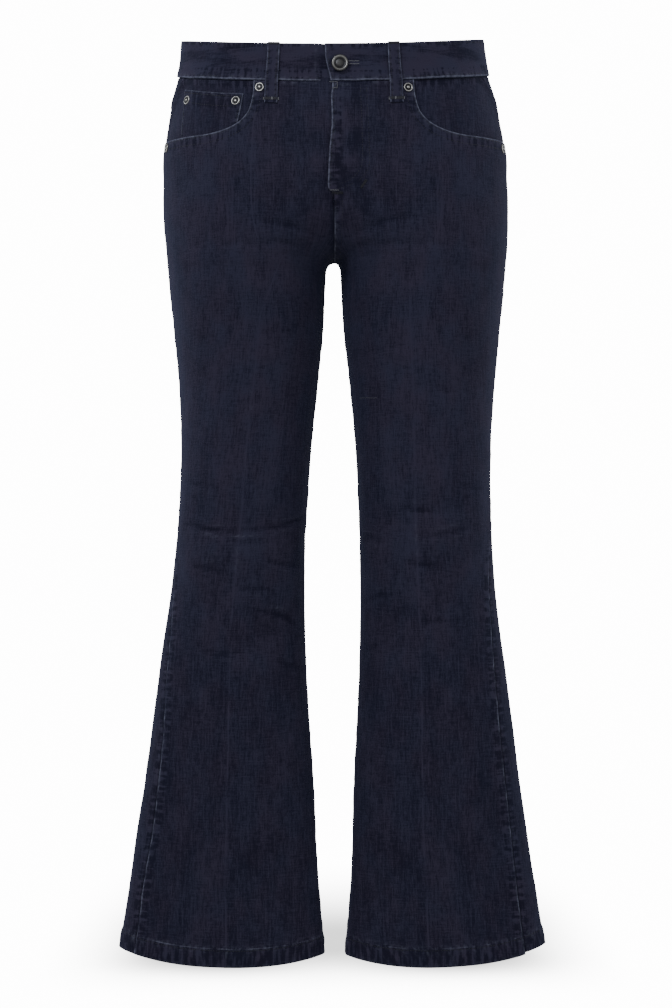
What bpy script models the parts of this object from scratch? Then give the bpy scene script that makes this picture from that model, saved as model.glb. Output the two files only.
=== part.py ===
"""Bootcut jeans, filled out as if worn, with no wearer inside.

The origin is at the middle of the waist, level with the waist's top edge at the sides.
+Z is up, the front faces -Y and the wearer's left is +X.

Every piece of cloth is a flat slab, cut by its own edges on the same form. A place on the form
is a side (+1 the wearer's left, -1 the right), a turn (-1 the middle of the front or the front
of the inseam, 0 the side, +1 the middle of the back or the back of the inseam) and a drop below
the waist. Sizes are in millimetres here, and become metres when a mesh is made.
"""

import math

import bmesh
import bpy
import numpy as np
from mathutils import Vector

MILLIMETRE = 0.001
SHARP_ANGLE = math.radians(50)

# Sections of the two halves. The inner end of a half is negative while the halves are one body,
# and reaches BLEND where the legs part.
BLEND = 8.0
CROTCH = 230.0
SECTION_COLUMNS = ("drop", "outer_right", "outer_left", "inner_right", "inner_left",
                   "front", "back", "shift", "roundness")
SECTIONS = (
    (-25, 156.0, 153.0, -156.0, -153.0, 100, 116, 0, 2.15),
    (5, 157.8, 154.9, -157.8, -154.9, 102, 118, 0, 2.15),
    (20, 158.6, 157.0, -158.6, -157.0, 103, 119, 0, 2.15),
    (38, 161.6, 160.4, -160.0, -158.8, 104, 121, 0, 2.2),
    (62, 167.8, 168.0, -155.0, -155.0, 107, 125, 0, 2.25),
    (85, 171.2, 172.4, -140.0, -140.0, 110, 129, 0, 2.3),
    (105, 174.2, 176.2, -122.0, -122.0, 112, 133, 0, 2.35),
    (145, 176.8, 179.7, -82.0, -82.0, 113, 137, 0, 2.35),
    (170, 177.1, 180.9, -57.0, -57.0, 111, 137, 0, 2.35),
    (190, 176.6, 180.5, -38.0, -38.0, 108, 134, 0, 2.3),
    (212, 174.8, 179.7, -15.0, -15.0, 104, 128, 1, 2.3),
    (222, 173.9, 179.2, -2.0, -2.0, 102, 125, 1, 2.25),
    (230, 173.2, 178.4, 8.0, 8.0, 101, 122, 1, 2.25),
    (236, 172.7, 177.9, 10.8, 9.9, 100, 119, 1, 2.25),
    (244, 171.9, 177.2, 11.7, 10.6, 98, 116, 2, 2.2),
    (262, 170.1, 175.6, 12.5, 11.2, 95, 111, 2, 2.2),
    (300, 166.0, 171.9, 14.0, 13.0, 87, 101, 3, 2.15),
    (355, 161.1, 167.0, 18.6, 18.2, 77, 88, 4, 2.1),
    (415, 158.9, 163.8, 24.3, 23.4, 69, 76, 5, 2.1),
    (475, 160.7, 163.0, 28.4, 26.5, 64, 67, 6, 2.1),
    (540, 166.1, 166.0, 31.6, 28.3, 59, 62, 7, 2.1),
    (600, 173.6, 171.2, 31.5, 28.7, 55, 59, 8, 2.15),
    (690, 185.6, 182.1, 28.1, 26.2, 50, 54, 8, 2.2),
    (770, 196.6, 192.7, 22.7, 22.2, 46, 49, 8, 2.2),
    (855, 209.3, 205.0, 19.2, 20.3, 42, 45, 8, 2.25),
    (935, 222.7, 219.6, 13.7, 15.3, 39, 41, 8, 2.3),
    (975, 229.4, 226.6, 11.2, 13.0, 38, 40, 8, 2.3),
)
ARC_STEPS = 97

# Where the side seam runs on each leg: it comes forward below the knee.
SIDE_SEAM_COLUMNS = ("drop", "turn_right", "turn_left")
SIDE_SEAM = (
    (30, -0.24, -0.24),
    (48, -0.19, -0.19),
    (64, -0.12, -0.12),
    (100, -0.02, -0.02),
    (140, 0.0, 0.0),
    (480, 0.0, 0.0),
    (525, -0.046, -0.1),
    (560, -0.09, -0.145),
    (600, -0.125, -0.158),
    (660, -0.143, -0.166),
    (730, -0.156, -0.163),
    (800, -0.152, -0.157),
    (880, -0.132, -0.158),
    (975, -0.128, -0.16),
)

# The largest soft folds, a row each: from one place to another, half width, and depth, which
# is negative for a hollow.
FOLD_COLUMNS = ("side", "turn_from", "drop_from", "turn_to", "drop_to", "width", "depth")
FOLDS = (
    (-1, -0.72, 505, -0.2, 490, 15, -2.6),
    (-1, -0.62, 545, -0.3, 530, 13, 1.6),
    (-1, -0.85, 600, -0.45, 625, 15, -2.2),
    (1, -0.3, 478, -0.8, 500, 15, -2.4),
    (1, -0.25, 530, -0.6, 548, 14, -1.8),
    (1, -0.45, 600, -0.8, 585, 15, -1.8),
    (-1, 0.2, 470, 0.75, 492, 16, -3.4),
    (-1, 0.3, 530, 0.8, 515, 15, -2.6),
    (1, 0.25, 480, 0.8, 468, 16, -3.4),
    (1, 0.2, 520, 0.72, 540, 15, -2.6),
    (-1, 0.35, 262, 0.85, 285, 15, -2.4),
    (1, 0.4, 285, 0.85, 262, 15, -2.4),
)
FOLD_PLANE_WIDTH = 215.0

# Cloth, and how far outside the form each layer's outer face lies.
CLOTH = 1.3
LAYER_GAP = 0.3
POCKET_GAP = 0.6
SEAM_HALF_TURN = 0.0009
SEAM_HALF_DROP = 0.17
BAND_CLOTH = 2.8
BAND_LIFT = 1.6
BAND_HEIGHT = 38.0
FACING_LIFT = {"left": -1.5, "right": -3.3}
COIN_FACE = FACING_LIFT["right"] + CLOTH + POCKET_GAP
SCOOP_LIFT = 0.9
SCOOP_RAISE_FULL = 15.0
SCOOP_RAISE_END = 34.0
FLY_LIFT = 1.0

# The waist's top edge, as a drop: a level, and slopes along x, along y and along y squared,
# taken from the form's section at WAIST_DROP.
WAIST_DROP = 20.0
TOP_LEVEL = -0.8
TOP_LEAN = -0.005
TOP_TILT = -0.15
TOP_CURVE = 0.00058

# Hem: the drop at its outer and inner corners, and how much lower its front and back hang,
# taken from the form's section at HEM_LEVEL.
HEM_LEVEL = 940.0
HEM_OUTER = {"left": 939.5, "right": 941.8}
HEM_INNER = {"left": 949.8, "right": 948.8}
HEM_DIP = 12.8
HEM_DIP_POWER = 2.4

# Fly: the left front laps over the right one down to FLY_END.
FLY_LAP = 4.5
FLY_TUCK = 12.0
FLY_FADE = 16.0
FLY_END = 150.0
FLY_CLOSED = 190.0
FLY_FLAT = 216.0
FRONT_HALF_LENGTH = 235.0

# The waistband's lapped end, beyond the middle, and its hidden end under it.
BAND_LAP = 8.2
BAND_TUCK = 22.0
BAND_FADE = 20.0
WAIST_HALF_LENGTH = 215.0

# Pocket mouth, a row for each place on its curve from the waistband to the side seam.
SCOOP = ((-0.635, 58), (-0.64, 72), (-0.632, 87), (-0.6, 98.5), (-0.53, 106.5), (-0.43, 110.3),
         (-0.3, 110.5), (-0.15, 110.0), (-0.02, 111.0))

# Pocket facing: turn and drop along its hidden lower edge, and how much its rows lean.
FACING_LOW = ((-0.7, 103.0), (-0.64, 111.0), (-0.55, 118.0), (-0.43, 121.5), (-0.3, 121.5),
              (-0.15, 121.0), (0.0, 122.0))
FACING_LEAN = 0.72

# Yoke seam: its drop at the side and at the middle of the back.
YOKE_SIDE = 72.0
YOKE_MIDDLE = 103.0
YOKE_GATHER = 0.3

# Pockets laid on a panel: the panel's columns and rows of cells that each covers, and how much
# of one more row it covers at its corners and at its point. The coin pocket's lines are the
# turns of its two side edges, at the waistband, at its own top and at the facing's low edge.
COIN_COLUMNS = (2, 8)
COIN_ROWS = (1, 6)
COIN_LINES = ((-0.25, -0.235, -0.3), (-0.605, -0.592, -0.575))
BACK_POCKET_COLUMNS = (3, 8)
BACK_POCKET_ROWS = (2, 10)
BACK_POCKET_CORNER = 0.15
BACK_POCKET_POINT = 0.55

# Belt loops: side, turn at the top, turn at the bottom.
LOOP_WIDTH = 12.4
LOOP_CLOTH = 1.6
LOOP_ABOVE = 0.6
LOOP_BELOW = 21.0
LOOP_BOW = 1.4
LOOP_FADE = 0.14
LOOPS = {
    "belt_loop_front_right": (-1, -0.714, -0.726),
    "belt_loop_front_left": (1, -0.714, -0.727),
    "belt_loop_back_right": (-1, 0.3, 0.3),
    "belt_loop_back_left": (1, 0.3, 0.3),
    "belt_loop_centre": (1, 1.0, 1.0),
}

# Rivets: side, turn, drop, and the lift of the cloth's face below them.
RIVET_RADIUS = 4.6
RIVET_HEIGHT = 1.7
RIVETS = {
    "rivet_pocket_right": (-1, -0.668, 64.5, SCOOP_LIFT),
    "rivet_pocket_left": (1, -0.668, 64.5, SCOOP_LIFT),
    "rivet_coin_outer": (-1, -0.275, 70.0, COIN_FACE),
    "rivet_coin_inner": (-1, -0.56, 76.5, COIN_FACE),
    "rivet_side_right": (-1, -0.165, 116.5, SCOOP_LIFT),
    "rivet_side_left": (1, -0.17, 117.5, SCOOP_LIFT),
}

# How many cells the panels have, across and down.
FRONT_COLUMNS = 11
BACK_COLUMNS = 12
SCOOP_ROWS = 8
UPPER_SIDE_ROWS = 4
SEAM_ROWS = 36
CROTCH_STEPS = (5.0, 17.0)
INSEAM_ROWS = 31
FRONT_RISE_ROWS = SCOOP_ROWS + SEAM_ROWS - INSEAM_ROWS
BACK_RISE_ROWS = UPPER_SIDE_ROWS + SEAM_ROWS - INSEAM_ROWS
FRONT_ROWS = SCOOP_ROWS + SEAM_ROWS
BACK_ROWS = UPPER_SIDE_ROWS + SEAM_ROWS
YOKE_COLUMNS = 12
YOKE_ROWS = 4
FACING_COLUMNS = 12
FACING_ROWS = 6
BAND_COLUMNS = 76
BAND_ROWS = 3
LOOP_COLUMNS = 2
LOOP_ROWS = 12
RIVET_STEPS = 16
BUTTON_STEPS = 24
EDGE_POINTS = 80

BUTTON_RADIUS = 8.4
BUTTON_HEIGHT = 5.2
BUTTON_X = 6.0
BUTTON_DROP = 42.0

DENIM = (0.0135, 0.0151, 0.0285)
BAND_DENIM = (0.0168, 0.0185, 0.0352)
DARK_METAL = (0.03, 0.03, 0.035)


def clear_scene():
    for thing in list(bpy.data.objects):
        bpy.data.objects.remove(thing, do_unlink=True)


def new_collection(name):
    collection = bpy.data.collections.new(name)
    bpy.context.scene.collection.children.link(collection)
    return collection


def new_material(name, colour, roughness, metallic):
    material = bpy.data.materials.new(name)
    material.use_nodes = True
    shader = material.node_tree.nodes["Principled BSDF"]
    shader.inputs["Base Color"].default_value = (*colour, 1.0)
    shader.inputs["Roughness"].default_value = roughness
    shader.inputs["Metallic"].default_value = metallic
    material.diffuse_color = (*colour, 1.0)
    return material


def smooth_step(value):
    value = np.clip(value, 0.0, 1.0)
    return value * value * (3.0 - 2.0 * value)


def curve_value(knots, values, at):
    """A smooth curve through a table's column that never overshoots it."""
    knots = np.asarray(knots, float)
    values = np.asarray(values, float)
    steps = np.diff(knots)
    rises = np.diff(values) / steps
    slopes = np.zeros(len(knots))
    slopes[0] = rises[0]
    slopes[-1] = rises[-1]
    before = rises[:-1]
    after = rises[1:]
    same = before * after > 0
    weight_a = 2 * steps[1:] + steps[:-1]
    weight_b = steps[1:] + 2 * steps[:-1]
    safe_before = np.where(same, before, 1.0)
    safe_after = np.where(same, after, 1.0)
    mean = (weight_a + weight_b) / (weight_a / safe_before + weight_b / safe_after)
    slopes[1:-1] = np.where(same, mean, 0.0)
    at = np.clip(at, knots[0], knots[-1])
    row = np.clip(np.searchsorted(knots, at, side="right") - 1, 0, len(steps) - 1)
    width = steps[row]
    t = (at - knots[row]) / width
    start = (1 + 2 * t) * (1 - t) ** 2 * values[row] + t * (1 - t) ** 2 * width * slopes[row]
    end = t * t * (3 - 2 * t) * values[row + 1] + t * t * (t - 1) * width * slopes[row + 1]
    return start + end


def table_value(columns, rows, name, at):
    column = columns.index(name)
    knots = [row[0] for row in rows]
    return curve_value(knots, [row[column] for row in rows], at)


def section(name, side, drop):
    """A column of SECTIONS at each drop, of the side that each point is on."""
    if name in ("outer", "inner"):
        right = table_value(SECTION_COLUMNS, SECTIONS, name + "_right", drop)
        left = table_value(SECTION_COLUMNS, SECTIONS, name + "_left", drop)
        return np.where(side > 0, left, right)
    return table_value(SECTION_COLUMNS, SECTIONS, name, drop)


def surface(side, turn, drop):
    """Points on the plain form, as an array of x, y, z in millimetres."""
    side, turn, drop = np.broadcast_arrays(np.asarray(side, float), turn, drop)
    outer = section("outer", side, drop)
    inner = section("inner", side, drop)
    power = section("roundness", side, drop)
    beyond = np.abs(turn) > 1
    folded = np.sign(turn) * (2 - np.abs(turn))
    parted = inner > BLEND
    turn = np.where(beyond, np.where(parted, -folded, folded), turn)
    side = np.where(beyond & ~parted, -side, side)
    depth = np.where(turn < 0, -section("front", side, drop), section("back", side, drop))
    middle = (outer + inner) / 2
    half = (outer - inner) / 2
    end = np.clip((BLEND - middle) / half, -1, 1)
    last = np.arccos(np.sign(end) * np.abs(end) ** (power / 2))
    angle = last[:, None] * np.linspace(0, 1, ARC_STEPS)[None, :]
    cosine = np.cos(angle)
    sine = np.abs(np.sin(angle))
    exponent = (2 / power)[:, None]
    lobe = middle[:, None] + half[:, None] * np.sign(cosine) * np.abs(cosine) ** exponent
    x = np.sqrt(np.maximum(lobe ** 2 - BLEND ** 2, 0))
    y = section("shift", side, drop)[:, None] + depth[:, None] * sine ** exponent
    length = np.hypot(np.diff(x, axis=1), np.diff(y, axis=1))
    travelled = np.concatenate([np.zeros((len(x), 1)), np.cumsum(length, axis=1)], axis=1)
    target = np.abs(turn) * travelled[:, -1]
    step = np.clip((travelled < target[:, None]).sum(axis=1) - 1, 0, ARC_STEPS - 2)
    pick = np.arange(len(x))
    part = (target - travelled[pick, step]) / np.maximum(length[pick, step], 1e-9)
    x = x[pick, step] + part * (x[pick, step + 1] - x[pick, step])
    y = y[pick, step] + part * (y[pick, step + 1] - y[pick, step])
    return np.stack([side * x, y, -drop], axis=1)


def outward(side, turn, drop):
    """The direction that faces out of the cloth at each place."""
    turn_step = 0.004
    drop_step = 0.5
    along = surface(side, turn + turn_step, drop) - surface(side, turn - turn_step, drop)
    down = surface(side, turn, drop + drop_step) - surface(side, turn, drop - drop_step)
    normal = np.cross(down, along) * np.broadcast_to(side, turn.shape)[:, None]
    return normal / np.linalg.norm(normal, axis=1)[:, None]


def fold_lift(side, turn, drop):
    """How far the soft folds push the cloth out at each place."""
    lift = np.zeros(len(turn))
    for fold in FOLDS:
        row = dict(zip(FOLD_COLUMNS, fold))
        start = np.array([row["turn_from"] * FOLD_PLANE_WIDTH, row["drop_from"]])
        run = np.array([row["turn_to"] * FOLD_PLANE_WIDTH, row["drop_to"]]) - start
        place = np.stack([turn * FOLD_PLANE_WIDTH, drop], axis=1) - start
        along = place @ run / (run @ run)
        middle = np.clip(along, 0.25, 0.75)
        gap = np.linalg.norm(place - middle[:, None] * run, axis=1)
        across = np.abs(place @ np.array([-run[1], run[0]])) / np.linalg.norm(run)
        beyond = np.sqrt(np.maximum(gap ** 2 - across ** 2, 0)) / np.linalg.norm(run) * 2
        shape = np.exp(-(across / row["width"]) ** 2 - beyond ** 2 * 4)
        lift += np.where(side == row["side"], row["depth"] * shape, 0)
    return lift


def raised(side, turn, drop, lift):
    """Points on the form and its folds, moved out by lift."""
    side = np.broadcast_to(np.asarray(side, float), turn.shape)
    lift = lift + fold_lift(side, turn, drop)
    return surface(side, turn, drop) + outward(side, turn, drop) * np.reshape(lift, (-1, 1))


def band_top(side, turn):
    """The drop of the waist's top edge at each turn."""
    place = surface(side, turn, np.full(turn.shape, WAIST_DROP))
    x = place[:, 0]
    y = place[:, 1]
    return TOP_LEVEL + TOP_LEAN * x + TOP_TILT * y + TOP_CURVE * y * y


def hem_drop(side, turn):
    name = "left" if side > 0 else "right"
    edge = np.full(turn.shape, HEM_LEVEL)
    place = surface(side, turn, edge)
    outer = surface(side, np.zeros(1), edge[:1])[0, 0]
    inner = surface(side, np.ones(1), edge[:1])[0, 0]
    share = (place[:, 0] - outer) / (inner - outer)
    depth = np.where(turn < 0, section("front", side, edge), section("back", side, edge))
    swell = np.abs(place[:, 1] - section("shift", side, edge)) / depth
    level = HEM_OUTER[name] + (HEM_INNER[name] - HEM_OUTER[name]) * share
    return level + HEM_DIP * swell ** HEM_DIP_POWER


def seam_turn(side, drop):
    name = "turn_left" if side > 0 else "turn_right"
    return table_value(SIDE_SEAM_COLUMNS, SIDE_SEAM, name, drop)


def even_places(side, turns, drops, count):
    """Places spaced evenly, by length on the form, along a line of turns and drops."""
    points = surface(side, turns, drops)
    steps = np.linalg.norm(np.diff(points, axis=0), axis=1)
    travelled = np.concatenate([[0.0], np.cumsum(steps)])
    wanted = np.linspace(0, travelled[-1], count)
    return np.interp(wanted, travelled, turns), np.interp(wanted, travelled, drops)


def patch(a, b, top, bottom, outer, inner):
    """Turns and drops inside four edges, each of which is a function of 0 to 1."""
    zero = np.zeros(1)
    one = np.ones(1)
    result = []
    for part in (0, 1):
        across = (1 - a) * outer(b)[part] + a * inner(b)[part]
        down = (1 - b) * top(a)[part] + b * bottom(a)[part]
        corner = ((1 - a) * (1 - b) * top(zero)[part] + a * (1 - b) * top(one)[part]
                  + (1 - a) * b * bottom(zero)[part] + a * b * bottom(one)[part])
        result.append(across + down - corner)
    return result


def gathered(a, share=0.5):
    """Columns drawn closer together towards both edges, where the form turns most."""
    return (1 - share) * a + share * (1 - np.cos(np.pi * a)) / 2


def make_slab(name, columns, rows, place, collection, material):
    """A flat slab of Blender's grid, bent into place by place(a, b, depth)."""
    bm = bmesh.new()
    bmesh.ops.create_grid(bm, x_segments=columns, y_segments=rows, size=0.5)
    bmesh.ops.translate(bm, verts=bm.verts[:], vec=(0.5, 0.5, 0.0))
    sheet = bmesh.ops.extrude_face_region(bm, geom=bm.faces[:], use_keep_orig=True)
    under = [part for part in sheet["geom"] if isinstance(part, bmesh.types.BMVert)]
    bmesh.ops.translate(bm, verts=under, vec=(0.0, 0.0, 1.0))
    flat = np.array([vertex.co[:] for vertex in bm.verts])
    bent = place(flat[:, 0], flat[:, 1], np.round(flat[:, 2])) * MILLIMETRE
    for vertex, co in zip(bm.verts, bent):
        vertex.co = co
    bmesh.ops.recalc_face_normals(bm, faces=bm.faces[:])
    if bm.calc_volume(signed=True) < 0:
        bmesh.ops.reverse_faces(bm, faces=bm.faces[:])
    mesh = bpy.data.meshes.new(name)
    bm.to_mesh(mesh)
    bm.free()
    mesh.shade_smooth()
    mesh.set_sharp_from_angle(angle=SHARP_ANGLE)
    mesh.materials.append(material)
    thing = bpy.data.objects.new(name, mesh)
    collection.objects.link(thing)
    return thing


def joined_edge(side, pieces):
    """An edge made of lines of turns and drops, each with its own number of even rows."""
    total = sum(rows for _, _, rows in pieces)
    stops = []
    turns = []
    drops = []
    start = 0
    for piece_turns, piece_drops, rows in pieces:
        even_turns, even_drops = even_places(side, piece_turns, piece_drops, EDGE_POINTS)
        stops.append(np.linspace(start, start + rows, EDGE_POINTS) / total)
        turns.append(even_turns)
        drops.append(even_drops)
        start += rows
    stops = np.concatenate(stops)
    turns = np.concatenate(turns)
    drops = np.concatenate(drops)

    def edge(t):
        return np.interp(t, stops, turns), np.interp(t, stops, drops)
    return edge


def seam_line(side, top, half_gap):
    """Turns and drops of the side seam from a drop to the hem, half a gap off its middle."""
    hem_turn = seam_turn(side, np.array([HEM_LEVEL])) + half_gap
    drops = np.linspace(top, float(hem_drop(side, hem_turn)[0]), EDGE_POINTS * 4)
    return seam_turn(side, drops) + half_gap, drops


def inseam_pieces(side, turn):
    """The inseam from the crotch to the hem, with two short rows where the legs part."""
    hem = float(hem_drop(side, np.array([turn]))[0])
    stops = [CROTCH] + [CROTCH + step for step in CROTCH_STEPS] + [hem]
    pieces = []
    for start, end in zip(stops[:-1], stops[1:]):
        drops = np.linspace(start, end, EDGE_POINTS * 4)
        pieces.append((np.full(drops.shape, turn), drops, 1))
    last_turns, last_drops, _ = pieces[-1]
    pieces[-1] = (last_turns, last_drops, INSEAM_ROWS - len(CROTCH_STEPS))
    return tuple(pieces)


def scoop_line(side, count):
    stops = np.linspace(0, 1, len(SCOOP))
    fine = np.linspace(0, 1, EDGE_POINTS * 2)
    turns = curve_value(stops, [row[0] for row in SCOOP], fine)
    drops = curve_value(stops, [row[1] for row in SCOOP], fine)
    return even_places(side, turns, drops, count)


def scoop_distance(side, turn, drop):
    """How far, in millimetres on the flat cloth, each place lies from the pocket mouth."""
    turns, drops = scoop_line(side, EDGE_POINTS // 2)
    flat = np.stack([turns * FRONT_HALF_LENGTH, drops], axis=1)
    place = np.stack([turn * FRONT_HALF_LENGTH, drop], axis=1)
    return np.linalg.norm(place[:, None, :] - flat[None, :, :], axis=2).min(axis=1)


def fly_weight(turn, drop, reach):
    """1 in the fly's lapped strip, fading to 0 beyond it and below it."""
    away = (turn + 1) * FRONT_HALF_LENGTH
    across = 1 - smooth_step((away - reach) / FLY_FADE)
    down = 1 - smooth_step((drop - FLY_CLOSED) / (FLY_FLAT - FLY_CLOSED))
    return across * down


def fly_edge(side, drops):
    """The turn of a front panel's edge at the middle: lapped at the fly, plain below it."""
    closed = smooth_step((drops - FLY_END) / (FLY_CLOSED - FLY_END))
    if side > 0:
        return -1 - FLY_LAP / FRONT_HALF_LENGTH * (1 - closed) + SEAM_HALF_TURN * closed
    start = FLY_END - 2 * FLY_TUCK
    quick = smooth_step((drops - start) / (FLY_CLOSED - FLY_TUCK - start))
    return -1 - FLY_TUCK / FRONT_HALF_LENGTH * (1 - quick) + SEAM_HALF_TURN * quick


def make_front(side, collection, material):
    """A front leg panel, from the waistband to the hem, with its pocket mouth cut out."""
    name = "front_panel_left" if side > 0 else "front_panel_right"
    middle = np.array([-1.0])
    top_drop = float(band_top(side, middle)[0]) + BAND_HEIGHT + SEAM_HALF_DROP
    scoop_turns, scoop_drops = scoop_line(side, EDGE_POINTS)
    waist = float(band_top(side, scoop_turns[:1])[0]) + BAND_HEIGHT + SEAM_HALF_DROP
    share = np.linspace(0, 1, EDGE_POINTS)
    scoop_drops = scoop_drops + (waist - scoop_drops[0]) * (1 - share) ** 3
    seam_turns, seam_drops = seam_line(side, scoop_drops[-1], -SEAM_HALF_TURN)
    rise_drops = np.linspace(top_drop, CROTCH, EDGE_POINTS * 8)
    outer = joined_edge(side, ((scoop_turns - SEAM_HALF_TURN, scoop_drops, SCOOP_ROWS),
                               (seam_turns, seam_drops, SEAM_ROWS)))
    rise = (fly_edge(side, rise_drops), rise_drops, FRONT_RISE_ROWS)
    inner = joined_edge(side, (rise,) + inseam_pieces(side, -1 + SEAM_HALF_TURN))

    def top(t):
        turns = (1 - t) * outer(0.0)[0] + t * inner(0.0)[0]
        return turns, band_top(side, turns) + BAND_HEIGHT + SEAM_HALF_DROP

    def bottom(t):
        turns = (1 - t) * outer(1.0)[0] + t * inner(1.0)[0]
        return turns, hem_drop(side, turns)

    def place(a, b, depth):
        turns, drops = patch(gathered(a), b, top, bottom, outer, inner)
        distance = scoop_distance(side, turns, drops)
        fade = (distance - SCOOP_RAISE_FULL) / (SCOOP_RAISE_END - SCOOP_RAISE_FULL)
        lift = SCOOP_LIFT * (1 - smooth_step(fade))
        if side > 0:
            lift = np.maximum(lift, FLY_LIFT * fly_weight(turns, drops, FLY_TUCK + 1))
        else:
            lift = lift - FLY_LIFT * fly_weight(turns, drops, FLY_LAP + 1)
        return raised(side, turns, drops, lift - depth * CLOTH)

    return make_slab(name, FRONT_COLUMNS, FRONT_ROWS, place, collection, material)


def back_form(side):
    """The shape of a back leg panel, from the yoke seam to the hem, at any lift."""
    upper_drops = np.linspace(YOKE_SIDE + SEAM_HALF_DROP, SCOOP[-1][1], EDGE_POINTS)
    seam_turns, seam_drops = seam_line(side, SCOOP[-1][1], SEAM_HALF_TURN)
    rise_drops = np.linspace(YOKE_MIDDLE + SEAM_HALF_DROP, CROTCH, EDGE_POINTS * 8)
    rise_turns = np.full(rise_drops.shape, 1 - SEAM_HALF_TURN)
    outer = joined_edge(side, ((seam_turn(side, upper_drops) + SEAM_HALF_TURN, upper_drops,
                                UPPER_SIDE_ROWS),
                               (seam_turns, seam_drops, SEAM_ROWS)))
    rise = (rise_turns, rise_drops, BACK_RISE_ROWS)
    inner = joined_edge(side, (rise,) + inseam_pieces(side, 1 - SEAM_HALF_TURN))

    def top(t):
        turns = (1 - t) * outer(0.0)[0] + t * inner(0.0)[0]
        return turns, yoke_drop(turns) + SEAM_HALF_DROP

    def bottom(t):
        turns = (1 - t) * outer(1.0)[0] + t * inner(1.0)[0]
        return turns, hem_drop(side, turns)

    def form(a, b, lift):
        turns, drops = patch(gathered(a), b, top, bottom, outer, inner)
        return raised(side, turns, drops, lift)

    return form


def make_back(side, collection, material):
    """A back leg panel and the plain pocket laid on it."""
    hand = "left" if side > 0 else "right"
    form = back_form(side)
    make_slab("back_panel_" + hand, BACK_COLUMNS, BACK_ROWS,
              lambda a, b, depth: form(a, b, -depth * CLOTH), collection, material)
    make_laid_pocket("back_pocket_" + hand, form, (BACK_COLUMNS, BACK_ROWS),
                     BACK_POCKET_COLUMNS, BACK_POCKET_ROWS, BACK_POCKET_POINT,
                     collection, material)


def yoke_drop(turns):
    return YOKE_SIDE + (YOKE_MIDDLE - YOKE_SIDE) * np.clip(turns, 0, 1)


def make_yoke(side, collection, material):
    """The strip between the waistband and a back panel, deeper at the middle of the back."""
    name = "yoke_left" if side > 0 else "yoke_right"
    end = 1 - SEAM_HALF_TURN
    corner = band_top(side, np.zeros(1)) + BAND_HEIGHT
    top_start = seam_turn(side, corner) + SEAM_HALF_TURN
    low_start = seam_turn(side, np.array([YOKE_SIDE])) + SEAM_HALF_TURN

    def place(a, b, depth):
        share = gathered(a, YOKE_GATHER)
        top_turns = top_start + (end - top_start) * share
        low_turns = low_start + (end - low_start) * share
        waist = band_top(side, top_turns) + BAND_HEIGHT + SEAM_HALF_DROP
        low = yoke_drop(low_turns) - SEAM_HALF_DROP
        drops = waist + (low - waist) * b
        start = top_start + (low_start - top_start) * b
        shift = (seam_turn(side, drops) + SEAM_HALF_TURN - start) * (1 - share)
        turns = top_turns + (low_turns - top_turns) * b + shift
        return raised(side, turns, drops, -depth * CLOTH)

    return make_slab(name, YOKE_COLUMNS, YOKE_ROWS, place, collection, material)


def facing_form(side):
    """The shape of the denim in the pocket mouth, which runs on under the front panel."""
    hand = "left" if side > 0 else "right"
    low_turns = [row[0] for row in FACING_LOW]
    low_drops = [row[1] for row in FACING_LOW]

    def column_turns(a, b, drops):
        edge = seam_turn(side, drops) - SEAM_HALF_TURN
        knots = [COIN_COLUMNS[0] / FACING_COLUMNS, COIN_COLUMNS[1] / FACING_COLUMNS]
        stops = (0.0, COIN_ROWS[0] / FACING_ROWS, 1.0)
        near = np.interp(b, stops, COIN_LINES[0])
        far = np.interp(b, stops, COIN_LINES[1])
        first = np.clip(a / knots[0], 0, 1)
        second = np.clip((a - knots[0]) / (knots[1] - knots[0]), 0, 1)
        third = np.clip((a - knots[1]) / (1 - knots[1]), 0, 1)
        return (edge + (near - edge) * first + (far - near) * second
                + (low_turns[0] - far) * third)

    def form(a, b, lift):
        corner = band_top(side, np.zeros(1)) + BAND_HEIGHT
        top_turns = column_turns(a, 0 * b, corner)
        low = column_turns(a, 0 * b + 1, np.array([low_drops[-1]]))
        waist = band_top(side, top_turns) + BAND_HEIGHT + SEAM_HALF_DROP
        lowest = curve_value(low_turns, low_drops, low)
        leaning = FACING_LEAN * np.minimum(a * FACING_COLUMNS / COIN_COLUMNS[1], 1)
        drops = waist + (lowest - waist) * (b + leaning * b * (1 - b))
        turns = column_turns(a, b, np.where(b < 0.001, corner, drops))
        return raised(side, turns, drops, FACING_LIFT[hand] + lift)

    return form


def make_facing(side, collection, material):
    hand = "left" if side > 0 else "right"
    form = facing_form(side)
    make_slab("pocket_facing_" + hand, FACING_COLUMNS, FACING_ROWS,
              lambda a, b, depth: form(a, b, -depth * CLOTH), collection, material)
    if hand == "right":
        make_laid_pocket("coin_pocket", form, (FACING_COLUMNS, FACING_ROWS),
                         COIN_COLUMNS, COIN_ROWS, 0.0, collection, material)


def make_laid_pocket(name, form, cells, columns, rows, point, collection, material):
    """A flat pocket made from its panel's own points, moved out, with a pointed lower edge."""
    across = columns[1] - columns[0]
    down = rows[1] - rows[0]
    pointed = 1 if point > 0 else 0

    def place(a, b, depth):
        lift = POCKET_GAP + CLOTH - depth * CLOTH
        host_a = (columns[0] + a * across) / cells[0]
        row = np.minimum(rows[0] + b * (down + pointed), rows[1])
        upper = form(host_a, row / cells[1], lift)
        if not pointed:
            return upper
        lower = form(host_a, np.minimum(row + 1, cells[1]) / cells[1], lift)
        tip = BACK_POCKET_CORNER + (point - BACK_POCKET_CORNER) * (1 - np.abs(2 * a - 1))
        share = np.where(b > 0.999, tip, 0.0)[:, None]
        return upper * (1 - share) + lower * share

    return make_slab(name, across, down + pointed, place, collection, material)


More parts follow.
